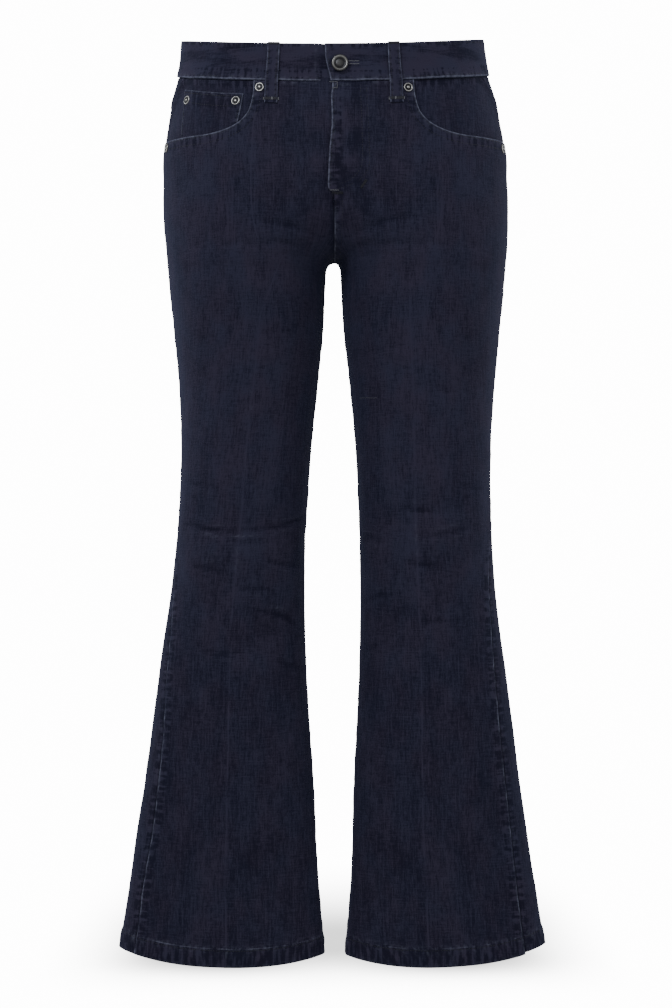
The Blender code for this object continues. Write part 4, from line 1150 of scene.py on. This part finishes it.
def facingPiece(side):
    a, b, shape = pieceGrid(facing)
    turn, drop = facingPlaces(side, a, b)
    mouth = lineDistance(turn, drop, *scoopLine(side, 24))
    seam = np.abs(turn - seamTurn(side, drop)) * facingWidth
    top = belowBand(side, turn, drop)
    marks = {"wearEdge": np.full(turn.shape, noWear),
             "groove": np.minimum(np.minimum(seam, top), mouth * 0.7),
             "fade": np.full(turn.shape, 0.0), **seamRows(turn, [(top, 5.0, 1), (seam, 4.0, 0)])}
    clothPiece("pocket_facing_" + handName(side), side, turn, drop, shape, facingLift,
               cloth["thickness"], marks)


coin = {"columns": 46, "rows": 44, "gridSize": (75, 46), "width": 78, "height": 46, "lift": 1.3,
        "stitchLift": 1.22}


def coinPlaces(a, b):
    first, last = facing["coinColumns"]
    hostB = facing["coinTop"] + (1 - facing["coinTop"]) * b
    return facingPlaces(-1.0, first + (last - first) * a, hostB)


def coinHem(b):
    # the raised strip where the top edge is turned in
    return 0.45 * (1 - smoothStep((b * coin["height"] - 8.5) / 1.5))


def coinPiece():
    a, b, shape = pieceGrid(coin)
    turn, drop = coinPlaces(a, b)
    top = b * coin["height"]
    sides = np.minimum(a, 1 - a) * coin["width"]
    rim = np.minimum(top, sides)

    def coinLift(side, turn, drop):
        lift = facingLift(side, turn, drop) + coin["lift"]
        lift += coinHem(b) - 0.45 * rolled(rim, 0.6)
        lift -= 0.22 * np.exp(-((rim - 2.2) / 0.8) ** 2)
        return lift + 0.35 * puckers(drop * 1.1 + turn * 120, rim, 4, 5, 91)

    marks = {"wearEdge": np.minimum(top + 0.75, sides + 0.2),
             "groove": np.full(turn.shape, 9.0), "fade": np.full(turn.shape, -0.05),
             **seamRows(turn, [(top, 8.3, 1), (sides, 2.2, 0)])}
    clothPiece("coin_pocket", -1.0, turn, drop, shape, coinLift, cloth["patch"], marks)


backPocket = {"width": 136.0, "height": 148.0, "point": 20.0, "top": 118.0, "middle": 0.535,
              "columns": 60, "rows": 66, "gridSize": (136, 140), "rimWidth": 130, "rimHeight": 140}


def backPocketPlaces(side, a, b):
    # a five-sided pocket: straight top, sides that draw in a little and a pointed lower edge
    narrow = 1 - 0.1 * b
    across = (a - 0.5) * backPocket["width"] * narrow
    depth = backPocket["height"] - backPocket["point"] * np.abs(2 * a - 1)
    drop = backPocket["top"] + depth * b + across * 0.03
    behind = np.full(a.shape, 0.5)
    middle = backPocket["middle"] * halfLength(side, behind, np.full(a.shape, 190.0))
    return (middle + across) / halfLength(side, behind, drop), drop


def backPocketPiece(side):
    a, b, shape = pieceGrid(backPocket)
    turn, drop = backPocketPlaces(side, a, b)
    top, low = b * backPocket["rimHeight"], (1 - b) * backPocket["rimHeight"]
    sides = np.minimum(a, 1 - a) * backPocket["rimWidth"]
    rim = np.minimum(np.minimum(top, low), sides)

    def backPocketLift(side, turn, drop):
        lift = backLift(side, turn, drop) + cloth["backPocket"]
        hem = fallOff(top, 18, 2)
        lift += 0.5 * hem - 0.6 * rolled(rim)
        return lift + 0.35 * puckers(drop + turn * 170, rim, 5, 7, 95)

    marks = {"wearEdge": rim + 0.3, "groove": np.full(a.shape, 9.0), "fade": np.full(a.shape, 0.2),
             **seamRows(turn, [(top, 17.6, 1), (sides, 8.0, 0), (low, 8.0, 1)])}
    clothPiece("back_pocket_" + handName(side), side, turn, drop, shape, backPocketLift,
               cloth["patch"], marks)


def bandPiece():
    # one strip, from where it is tucked away on the right, round the back to the lapped end;
    # its shader value pressed stays 0, which lightens it in patches, as on the belt loops
    around = 2 * band["halfLength"]
    start = -1 - band["tuck"] / around
    a, b, shape = pieceGrid(band)
    end = 1 + bandLap(b) / around
    where = start + (end - start) * a
    side = np.where(where < 0, -1.0, 1.0)
    turn = 1 - 2 * np.abs(where)
    top = bandTop(side, turn)
    drop = top + (bandHeight - 0.2) * b + bandDip(where) * b
    low = (1 - b) * bandHeight
    away = (end - where) * around
    marks = {"wearEdge": np.minimum(np.minimum(low * 0.9, away * 1.1), b * bandHeight + 0.95),
             "groove": np.full(turn.shape, 9.0),
             "fade": 0.5 * np.exp(-((low - 9) / 7) ** 2) - 0.22 * np.exp(-((low - 27) / 9) ** 2),
             **seamRows(turn, [(low, 9.0, 1), (b * bandHeight, 3.0, 1)])}
    lift = bandLift(side, turn, top + bandHeight * b)
    lift -= 0.9 * rolled(away, 0.9)
    base = smoothed(lift, shape)
    clothMap = np.stack([drop, where * around], axis=1)
    shellPiece("waistband", side, turn, drop, shape, (lift, base, base - band["thickness"]),
               clothMap, marks, bandDenim)


def bandDip(where):
    # how far the lower edge wavers along its length
    across = where * 2 * band["halfLength"]
    return 0.35 * valueNoise(across / 17, 85) * (np.abs(where) < 0.985)


loops = {"front_right": (-1.0, -0.714, -0.726), "front_left": (1.0, -0.714, -0.727),
         "back_right": (-1.0, 0.3, 0.3), "back_left": (1.0, 0.3, 0.3), "centre": (1.0, 1.0, 1.0)}
loopSize = {"width": 12.4, "thickness": 1.5, "above": 0.6, "below": 23.4, "bow": 1.3,
            "columns": 12, "rows": 60, "gridSize": (27.28, 60)}


def loopPlaces(side, top, low, a, b):
    # a loop from just above the waistband to below it, bowed out in the middle; top and low are
    # the turns of its ends
    length = loopSize["above"] + bandHeight + loopSize["below"]
    seam = (loopSize["above"] + bandHeight) / length
    turn = top + (low - top) * b + (a - 0.5) * loopSize["width"] / band["halfLength"]
    drop = bandTop(side, turn) - loopSize["above"] + length * b
    lower = smoothStep((b - seam) / 0.14)
    base = band["lift"] + (cloth["scoop"] - band["lift"]) * lower + 0.3
    edge = np.minimum(a, 1 - a) * loopSize["width"]
    lift = base + loopSize["bow"] * np.sin(np.pi * b) + loopSize["thickness"]
    lift += 0.28 * np.exp(-((edge - 1.4) / 0.9) ** 2) - 0.6 * np.exp(-edge / 0.45)
    lift -= 0.5 * np.exp(-((1 - b) * length - 4.0) ** 2 / 6) + 0.3 * np.exp(-b * length / 1.5)
    lift += 0.18 * valueNoise2(a * 3, b * 9 + top * 30, 97)
    return turn, drop, lift, edge


def loopPiece(label, side, top, low):
    a, b, shape = pieceGrid(loopSize)
    turn, drop, lift, edge = loopPlaces(side, top, low, a, b)
    flat = loopPlaces(side, top, low, 0 * a + 0.5, b)[2]
    under = np.minimum(flat, lift + 0.4) - loopSize["thickness"]
    marks = {"wearEdge": edge * 1.3 + 0.25 + 0.5 * valueNoise(b * 9 + top * 40, 111),
             "groove": np.full(a.shape, 9.0), "fade": np.full(a.shape, 0.05),
             **seamRows(a, [(edge, 2.2, 0)])}
    clothMap = np.stack([(a - 0.5) * loopSize["width"], drop], axis=1)
    shellPiece("belt_loop_" + label, side, turn, drop, shape, (lift, flat, under), clothMap,
               marks, loopDenim)


for hand in (1.0, -1.0):
    yokePiece(hand)
    facingPiece(hand)
    backPocketPiece(hand)
coinPiece()
bandPiece()
for label, (hand, topTurn, lowTurn) in loops.items():
    loopPiece(label, hand, topTurn, lowTurn)
print("waistband, yokes, pockets and loops made")


# Rivets and the button: turned pieces, each a table of radius, height and polish.

rivet = {"radius": 4.7, "height": 1.9, "steps": 40, "sunk": 0.25}
rivetProfile = ((0.0, 1.0, 0.95), (0.12, 0.98, 0.9), (0.24, 0.86, 0.7), (0.31, 0.6, 0.2),
                (0.36, 0.42, 0.0), (0.5, 0.38, 0.0), (0.66, 0.44, 0.0), (0.76, 0.62, 0.35),
                (0.84, 0.68, 0.8), (0.92, 0.6, 0.75), (0.98, 0.4, 0.3), (1.0, 0.2, 0.0),
                (0.97, 0.0, 0.0), (0.0, 0.0, 0.0))
rivets = {"rivet_pocket_right": (-1.0, -0.668, 64.5, "front"),
          "rivet_pocket_left": (1.0, -0.668, 64.5, "front"),
          "rivet_coin_outer": (-1.0, -0.275, 70.0, "coin"),
          "rivet_coin_inner": (-1.0, -0.56, 76.5, "coin"),
          "rivet_side_right": (-1.0, -0.165, 116.5, "front"),
          "rivet_side_left": (1.0, -0.17, 117.5, "front")}
button = {"radius": 8.5, "height": 5.3, "across": 6.0, "drop": 42.0, "steps": 64}
buttonProfile = ((0.0, 0.84, 0.12), (0.2, 0.83, 0.10), (0.42, 0.80, 0.05), (0.5, 0.76, 0.0),
                 (0.6, 0.76, 0.02), (0.68, 0.84, 0.12), (0.74, 0.95, 0.34), (0.8, 1.0, 0.40),
                 (0.88, 0.99, 0.20), (0.95, 0.93, 0.08), (1.0, 0.82, 0.18), (1.0, 0.72, 0.06),
                 (0.95, 0.62, 0.0), (0.84, 0.55, 0.0), (0.45, 0.5, 0.0), (0.4, 0.2, 0.0),
                 (0.46, 0.0, 0.0), (0.0, 0.0, 0.0))


def turnedPiece(name, profile, size, steps, point, normal):
    # a profile turned about the normal at a point of the cloth
    radius, height = size
    angles = np.linspace(0, 2 * np.pi, steps, endpoint=False)
    normal = Vector([float(part) for part in normal]).normalized()
    first = normal.orthogonal().normalized()
    second = normal.cross(first)
    points, polish, rings = [], [], []
    for reach, level, shine in profile:
        around = [0.0] if reach == 0 else angles
        rings.append(list(range(len(points), len(points) + len(around))))
        for angle in around:
            spot = (first * math.cos(angle) + second * math.sin(angle)) * reach * radius
            spot = spot + normal * level * height
            points.append([mm * (float(point[k]) + spot[k]) for k in range(3)])
            polish.append(shine)
    faces = []
    for inner, outer in zip(rings, rings[1:]):
        count = max(len(inner), len(outer))
        for k in range(count):
            following = (k + 1) % count
            if len(inner) == 1:
                faces.append((inner[0], outer[k], outer[following]))
            elif len(outer) == 1:
                faces.append((inner[k], outer[0], inner[following]))
            else:
                faces.append((inner[k], outer[k], outer[following], inner[following]))
    mesh = bpy.data.meshes.new(name + "_turned")
    mesh.from_pydata(points, [], faces)
    mesh.attributes.new("polish", "FLOAT", "POINT").data.foreach_set("value", polish)
    mesh.shade_smooth()
    finishPiece(name + "_turned", mesh, metalDark, name)


for name, (hand, turn, drop, host) in rivets.items():
    turns, drops = np.array([turn]), np.array([drop])
    if host == "front":
        lift = frontLift(hand, turns, drops)
    else:
        lift = facingLift(hand, turns, drops) + coin["lift"]
    normal = outward(hand, turns, drops)
    spot = surface(hand, turns, drops) + normal * (lift - rivet["sunk"])[:, None]
    turnedPiece(name, rivetProfile, (rivet["radius"], rivet["height"] + rivet["sunk"]),
                rivet["steps"], spot[0], normal[0])
turns = np.array([-1 + button["across"] / band["halfLength"]])
drops = np.array([button["drop"]])
normal = outward(1.0, turns, drops)
spot = surface(1.0, turns, drops) + normal * (band["lift"] + 0.1)
turnedPiece("waist_button", buttonProfile, (button["radius"], button["height"]), button["steps"],
            spot[0], normal[0])
print("rivets and button made")


# Stitching: places along lines on the lifted cloth, each with one stitch from a node tree.

stitch = {"pitch": 2.9, "length": 2.35, "width": 0.62, "height": 0.42, "jitter": 0.12,
          "seed": 7, "sunk": 0.10, "tackPitch": 1.1, "zigStep": 0.62}
stitchScale = {"stitches_tacks": 0.8, "stitches_pale": 0.75, "stitches_slub": 0.5}
stitchSets = {}
flyTop = float(bandTop(1.0, np.array([-1.0]))[0]) + bandHeight


def placesOn(liftFor, side, turns, drops, extra=0.0):
    # points and normals on a lifted cloth, whose lift is a function or its values
    side = np.broadcast_to(np.asarray(side, float), turns.shape)
    lift = liftFor(float(side[0]), turns, drops) if callable(liftFor) else liftFor
    normal = outward(side, turns, drops)
    return surface(side, turns, drops) + normal * np.reshape(lift + extra, (-1, 1)), normal


def resample(points, normals, pitch):
    # where the stitches along a line lie, along what they run and where they face
    travelled = np.concatenate([[0], np.cumsum(np.linalg.norm(np.diff(points, axis=0), axis=1))])
    wanted = np.arange(pitch / 2, travelled[-1], pitch)

    def valuesAt(at, values):
        return np.stack([np.interp(at, travelled, values[:, k]) for k in range(3)], axis=1)

    aim = valuesAt(wanted + 0.8, points) - valuesAt(wanted - 0.8, points)
    aim = aim / np.maximum(np.linalg.norm(aim, axis=1), 1e-9)[:, None]
    return valuesAt(wanted, points), aim, valuesAt(wanted, normals)


def stitchPoints(group, points, normals, pitch=stitch["pitch"]):
    stitchSets.setdefault(group, []).append(resample(points, normals, pitch))


def stitchLine(group, liftFor, side, turns, drops, extra=0.0):
    turns, drops = evenPlaces(side, turns, drops, 260)
    stitchPoints(group, *placesOn(liftFor, side, turns, drops, extra - stitch["sunk"]))


def stitchTree():
    # Geometry Nodes: on every point a flattened ball, drawn out along the row
    tree = bpy.data.node_groups.new("stitchRows", "GeometryNodeTree")
    tree.is_modifier = True
    face = tree.interface
    face.new_socket("Geometry", in_out="INPUT", socket_type="NodeSocketGeometry")
    for label, value in (("Length", stitch["length"]), ("Width", stitch["width"]),
                         ("Height", stitch["height"]), ("Jitter", stitch["jitter"])):
        socket = face.new_socket(label, in_out="INPUT", socket_type="NodeSocketFloat")
        socket.default_value = value
    face.new_socket("Seed", in_out="INPUT", socket_type="NodeSocketInt")
    face.new_socket("Thread", in_out="INPUT", socket_type="NodeSocketMaterial")
    face.new_socket("Geometry", in_out="OUTPUT", socket_type="NodeSocketGeometry")
    given = tree.nodes.new("NodeGroupInput")

    def wire(name):
        return Wire(tree, given.outputs[name])

    sphere = makeNode(tree, "GeometryNodeMeshUVSphere", {},
                      {"Segments": 6, "Rings": 5, "Radius": 0.0005}, "Mesh")
    aim = makeNode(tree, "GeometryNodeInputNamedAttribute", {"data_type": "FLOAT_VECTOR"},
                   {"Name": "aim"}, "Attribute")
    upward = makeNode(tree, "GeometryNodeInputNamedAttribute", {"data_type": "FLOAT_VECTOR"},
                      {"Name": "facing"}, "Attribute")
    turned = makeNode(tree, "FunctionNodeAlignRotationToVector", {"axis": "X"},
                      {"Vector": aim}, "Rotation")
    turned = makeNode(tree, "FunctionNodeAlignRotationToVector", {"axis": "Z", "pivot_axis": "X"},
                      {"Rotation": turned, "Vector": upward}, "Rotation")
    change = makeNode(tree, "FunctionNodeRandomValue", {"data_type": "FLOAT"},
                      {"Seed": wire("Seed")}, 1)
    change = (change - 0.5) * wire("Jitter") + 1.0
    size = makeNode(tree, "ShaderNodeCombineXYZ", {},
                    {"X": wire("Length") * change, "Y": wire("Width") * change,
                     "Z": wire("Height") * change})
    placed = makeNode(tree, "GeometryNodeInstanceOnPoints", {},
                      {"Points": wire("Geometry"), "Instance": sphere, "Rotation": turned,
                       "Scale": size}, "Instances")
    real = makeNode(tree, "GeometryNodeRealizeInstances", {}, {"Geometry": placed}, "Geometry")
    dyed = makeNode(tree, "GeometryNodeSetMaterial", {},
                    {"Geometry": real, "Material": wire("Thread")}, "Geometry")
    out = tree.nodes.new("NodeGroupOutput")
    tree.links.new(dyed.socket, out.inputs[0])
    return tree


def makeStitches(tree, group, rows, thread, size):
    spots = np.concatenate([row[0] for row in rows]) * mm
    mesh = bpy.data.meshes.new(group)
    mesh.vertices.add(len(spots))
    mesh.vertices.foreach_set("co", spots.ravel())
    for label, part in (("aim", 1), ("facing", 2)):
        attribute = mesh.attributes.new(label, "FLOAT_VECTOR", "POINT")
        attribute.data.foreach_set("vector", np.concatenate([row[part] for row in rows]).ravel())
    maker = bpy.data.objects.new(group + "_points", mesh)
    bpy.context.scene.collection.objects.link(maker)
    modifier = maker.modifiers.new("stitches", "NODES")
    modifier.node_group = tree
    given = {"Length": stitch["length"] * size, "Width": stitch["width"] * size,
             "Height": stitch["height"] * size, "Jitter": stitch["jitter"],
             "Seed": stitch["seed"], "Thread": thread}
    for item in tree.interface.items_tree:
        if item.in_out == "INPUT" and item.name in given:
            modifier[item.identifier] = given[item.name]
    bpy.context.view_layer.update()
    ready = maker.evaluated_get(bpy.context.evaluated_depsgraph_get())
    made = bpy.data.meshes.new_from_object(ready)
    bpy.data.objects.remove(maker)
    made.name = group
    made.shade_smooth()
    return finishPiece(group, made, thread)


def awayFrom(turns, drops, gap):
    # a line moved over the cloth by gap millimetres, to its right when going along it
    flow = np.stack([np.gradient(turns * frontWidth), np.gradient(drops)], axis=1)
    flow = flow / np.linalg.norm(flow, axis=1)[:, None]
    return turns - flow[:, 1] * gap / frontWidth, drops + flow[:, 0] * gap


def seamAt(side, drop):
    return float(seamTurn(side, np.array([drop]))[0])


def frontStitching(side):
    group = "stitches_front_" + handName(side)
    turns, drops = scoopLine(side, 90)
    for gap in (1.9, 9.0):
        t, d = awayFrom(turns, drops, gap)
        inside = (d > bandTop(side, t) + bandHeight + 1) & (t < seamTurn(side, d) - 0.008)
        stitchLine(group, frontLift, side, t[inside], d[inside])
    hem = np.linspace(-0.995, seamAt(side, 930.0) - 0.004, 120)
    stitchLine(group, frontLift, side, hem, hemDrop(side, hem) - hemRow)
    down = np.linspace(246, float(hemDrop(side, np.array([-0.99]))[0]) - 19, 200)
    length = halfLength(side, np.full(down.shape, -0.9), down)
    stitchLine(group, frontLift, side, -1 + 2.2 / length, down)
    if side > 0:
        for inset in (0.0, 6.4):
            t, d = flyStitch(inset)
            stitchLine(group, frontLift, side, t, d)
        down = np.linspace(flyTop + 2, fly["end"], 60)
        stitchLine(group, frontLift, side, -1 + (2.4 - flyLap(down)) / frontWidth, down)
        for gap in (2.0, 8.2):
            down = np.linspace(fly["closed"] + 1, 229, 40)
            stitchLine(group, frontLift, side, -1 + gap / frontWidth + 0 * down, down)


def backStitching(side):
    group = "stitches_back_" + handName(side)
    across = np.linspace(seamAt(side, 74.0) + 0.006, 0.994, 140)
    for gap in (1.9, 8.0):
        stitchLine(group, yokeLift, side, across, yokeDrop(across) - gap)
    hem = np.linspace(seamAt(side, 930.0) + 0.004, 0.995, 120)
    stitchLine(group, backLift, side, hem, hemDrop(side, hem) - hemRow)
    a = np.linspace(0, 1, 50)
    for gap in (2.2, 8.0):
        x, y = gap / backPocket["width"], gap / backPocket["rimHeight"]
        t1, d1 = backPocketPlaces(side, np.full(50, x), a * (1 - y))
        t2, d2 = backPocketPlaces(side, x + (1 - 2 * x) * a, np.full(50, 1 - y))
        t3, d3 = backPocketPlaces(side, np.full(50, 1 - x), (1 - a) * (1 - y))
        t, d = np.concatenate([t1, t2, t3]), np.concatenate([d1, d2, d3])
        stitchLine(group, backLift, side, t, d, cloth["backPocket"])
    t, d = backPocketPlaces(side, 0.02 + 0.96 * a, np.full(50, 17.6 / backPocket["rimHeight"]))
    stitchLine(group, backLift, side, t, d, cloth["backPocket"] + 0.45)
    if side > 0:
        for gap in (2.0, 8.2):
            down = np.linspace(yoke["middle"] + 3, 228, 60)
            stitchLine(group, backLift, side, 1 - gap / backWidth + 0 * down, down)


def bandStitching():
    # a row along each edge and one across the lapped end
    rows = []
    for gap in (3.1, bandHeight - 2.7):
        lap = bandLap(gap / bandHeight) - 2.6
        where = np.linspace(-1 + 0.006, 1 + lap / (2 * band["halfLength"]), 700)
        rows.append((np.where(where < 0, -1.0, 1.0), 1 - 2 * np.abs(where), gap))
    down = np.linspace(3.5, bandHeight - 3, 30)
    rows.append((np.ones(30), -1 - (bandLap(down / bandHeight) - 2.6) / band["halfLength"], down))
    for side, turn, gap in rows:
        drop = bandTop(side, turn) + gap
        lift = bandLift(side, turn, drop)
        stitchPoints("stitches_waistband", *placesOn(lift, side, turn, drop, -stitch["sunk"]))


def loopStitching():
    # two rows along each loop, a tack at both of its ends and paler ends of thread on the lower
    for side, top, low in loops.values():
        for place in (0.16, 0.84):
            b = np.linspace(0.04, 0.95, 60)
            turn, drop, lift = loopPlaces(side, top, low, np.full(60, place), b)[:3]
            points, normals = placesOn(lift, side, turn, drop, -0.08)
            stitchPoints("stitches_loops", points, normals, 2.6)
        for place, reach, wide in ((0.935, 2.4, 0.6), (0.03, 1.2, 0.46)):
            zig = np.linspace(0, 1, 54)
            a = 0.5 + wide * (2 * zig - 1)
            held = np.clip(a, 0.03, 0.97)
            b = place + reach / 60 * np.where(np.arange(54) % 2 == 0, 0.5, -0.5)
            turn, drop, lift = loopPlaces(side, top, low, held, b)[:3]
            turn = turn + (a - held) * loopSize["width"] / band["halfLength"]
            beyond = smoothStep((np.abs(a - 0.5) - 0.46) / 0.06)
            lift = lift + (cloth["scoop"] + 0.3 - lift) * beyond
            points, normals = placesOn(lift, side, turn, drop, 0.12)
            stitchPoints("stitches_tacks", points, normals, stitch["tackPitch"])
            if reach > 2:
                for share in (0.0, 0.42, 1.0):
                    at = int(share * 53)
                    few = slice(max(at - 2, 0), at + 3)
                    stitchPoints("stitches_pale", points[few] + 0.35 * normals[few],
                                 normals[few], 0.9)


def coinStitching():
    share = np.linspace(0.03, 0.97, 70)
    for top in (1.9, 8.3):
        coinStitchRow(share, np.full(70, top / coin["height"]))
    near = 1.9 / coin["width"]
    for place in (near, 1 - near):
        coinStitchRow(np.full(70, place), np.linspace(0.03, 0.82, 70))


def coinStitchRow(a, b):
    turn, drop = coinPlaces(a, b)
    lift = facingLift(-1.0, turn, drop) + coin["stitchLift"] + coinHem(b)
    stitchPoints("stitches_front_right", *placesOn(lift, -1.0, turn, drop))


def zigzag(liftFor, start, end, width, extra=0.25, group="stitches_tacks"):
    # a bar tack on the wearer's left between two places on the cloth, each a turn and a drop
    run = np.array([(end[0] - start[0]) * frontWidth, end[1] - start[1]])
    count = int(np.hypot(*run) / stitch["zigStep"]) + 4
    share = np.linspace(0, 1, count)
    normal = np.array([-run[1], run[0]]) / np.linalg.norm(run) * width / 2
    swing = np.where(np.arange(count) % 2 == 0, 1.0, -1.0)
    turn = start[0] + (end[0] - start[0]) * share + swing * normal[0] / frontWidth
    drop = start[1] + (end[1] - start[1]) * share + swing * normal[1]
    stitchPoints(group, *placesOn(liftFor, 1.0, turn, drop, extra), stitch["tackPitch"])


for hand in (1.0, -1.0):
    frontStitching(hand)
    backStitching(hand)
bandStitching()
loopStitching()
coinStitching()
for start, end, width in (((-2, fly["end"] + 6), (9, fly["end"] + 6), 2.4),
                          ((26, 166), (31, 158), 2.2)):
    zigzag(frontLift, (-1 + start[0] / frontWidth, start[1]),
           (-1 + end[0] / frontWidth, end[1]), width)
corners = ((-4.5, 1.4), (3.5, 1.4), (3.5, 7.6), (-1.5, 7.6))
corners = [(-1 + across / frontWidth, flyTop + down) for across, down in corners]
zigzag(frontLift, (-1 - 4 / frontWidth, fly["end"] + 3.2),
       (-1 + 5 / frontWidth, fly["end"] + 3.4), 0.6, 0.35, "stitches_pale")
for start, end in zip(corners, corners[1:]):
    zigzag(frontLift, start, end, 0.5, 0.35, "stitches_pale")
zigzag(frontLift, (-0.847, 372), (-0.726, 373), 0.25, 0.1, "stitches_slub")
for shift in (-1.5, 1.5):      # both lips of the buttonhole
    zigzag(bandLift, (-1 + 14.5 / band["halfLength"], 40.5 + shift),
           (-1 + 25 / band["halfLength"], 40.4 + shift), 0.6, 0.2, "stitches_pale")
stitchRows = stitchTree()
for name, rows in stitchSets.items():
    thread = threadPale if name in ("stitches_pale", "stitches_slub") else threadDark
    makeStitches(stitchRows, name, rows, thread, stitchScale.get(name, 1.0))
print("stitching made")


# Floor, light and camera.

studio = {"floorDrop": 0.9588, "distance": 2.6, "height": -0.481, "across": 0.0021,
          "focalPixels": 2500, "pictureHeight": 1008, "sensor": 36, "white": 14.5,
          "ambient": 0.5, "shadow": 0.885, "contact": 0.75}
lamps = {"keyLight": ((-1.3, -2.3, 1.5), 34, 0.9), "fillLight": ((2.2, -2.4, 0.3), 9, 1.6),
         "rimLeft": ((2.4, 1.0, 0.2), 12, 1.2), "rimRight": ((-2.4, 1.0, 0.2), 12, 1.2)}


def makeFloorMaterial():
    # a glowing floor with a painted broad shadow behind the jeans and a painted contact shadow
    # under each hem
    material, tree = newMaterial("floorPale")[:2]
    tree.nodes.clear()
    place = makeNode(tree, "ShaderNodeTexCoord", {}, {}, "Object")
    x = makeNode(tree, "ShaderNodeSeparateXYZ", {}, (place,), "X")
    y = makeNode(tree, "ShaderNodeSeparateXYZ", {}, (place,), "Y")
    broad = (1 - x.math("ABSOLUTE").fade(0.18, 0.32)) * (1 - y.fade(0.18, 0.76))
    light = 1 - broad * y.fade(-0.2, 0.08) * studio["shadow"]
    for centre in (-0.118, 0.118):
        across = (x - centre) / 0.12
        along = y / 0.09
        away = (across * across + along * along).math("SQRT")
        light = light * (1 - (1 - away.fade(0.0, 1.25)) * studio["contact"])
    glow = makeNode(tree, "ShaderNodeEmission", {}, {"Strength": light * studio["white"]})
    out = tree.nodes.new("ShaderNodeOutputMaterial")
    tree.links.new(glow.socket, out.inputs["Surface"])
    return material


def makeStudio():
    bpy.ops.mesh.primitive_plane_add(size=60, location=(0, 0, -studio["floorDrop"]))
    floor = bpy.context.object
    floor.name = "floor"
    floor.data.materials.append(makeFloorMaterial())
    for ray in ("diffuse", "glossy", "shadow"):
        setattr(floor, "visible_" + ray, False)
    world = bpy.data.worlds.new("studio")
    world.use_nodes = True
    tree = world.node_tree
    seen = makeNode(tree, "ShaderNodeLightPath", {}, {}, "Is Camera Ray")
    level = seen * (studio["white"] - studio["ambient"]) + studio["ambient"]
    background = tree.nodes["Background"]
    background.inputs["Color"].default_value = (1, 1, 1, 1)
    tree.links.new(level.socket, background.inputs["Strength"])
    bpy.context.scene.world = world
    for name, (spot, power, size) in lamps.items():
        lamp = bpy.data.lights.new(name, "AREA")
        lamp.energy = power
        lamp.size = size
        lamp.color = (0.93, 0.96, 1.0)
        light = bpy.data.objects.new(name, lamp)
        bpy.context.scene.collection.objects.link(light)
        light.location = spot
        aim = Vector((0, 0, -0.45)) - Vector(spot)
        light.rotation_euler = aim.to_track_quat("-Z", "Y").to_euler()
    lens = bpy.data.cameras.new("photoCamera")
    lens.sensor_fit = "VERTICAL"
    lens.sensor_height = studio["sensor"]
    lens.lens = studio["focalPixels"] * studio["sensor"] / studio["pictureHeight"]
    camera = bpy.data.objects.new("photoCamera", lens)
    bpy.context.scene.collection.objects.link(camera)
    camera.location = (studio["across"], -studio["distance"], studio["height"])
    camera.rotation_euler = (math.radians(90), 0, 0)
    bpy.context.scene.camera = camera


makeStudio()
print("studio made")

hangsFrom = {"front_panel_right_cloth": ("waistband_cloth", ["stitches_front_right"]),
             "front_panel_left_cloth": ("waistband_cloth", ["stitches_front_left", "stitches_pale",
                                                            "stitches_slub"]),
             "back_panel_right_cloth": ("yoke_right_cloth", ["stitches_back_right"]),
             "back_panel_left_cloth": ("yoke_left_cloth", ["stitches_back_left"]),
             "coin_pocket_cloth": ("pocket_facing_right_cloth", []),
             "back_pocket_right_cloth": ("back_panel_right_cloth", []),
             "back_pocket_left_cloth": ("back_panel_left_cloth", []),
             "waistband_cloth": (None, ["stitches_waistband", "stitches_loops", "stitches_tacks"])}
for name, (across, down, area) in clothSizes.items():
    host, rows = hangsFrom.get(name, ("waistband_cloth", []))
    area = min(area, across * down)
    print("cut", name, round(across * 1000, 1), round(down * 1000, 1), round(area, 5))
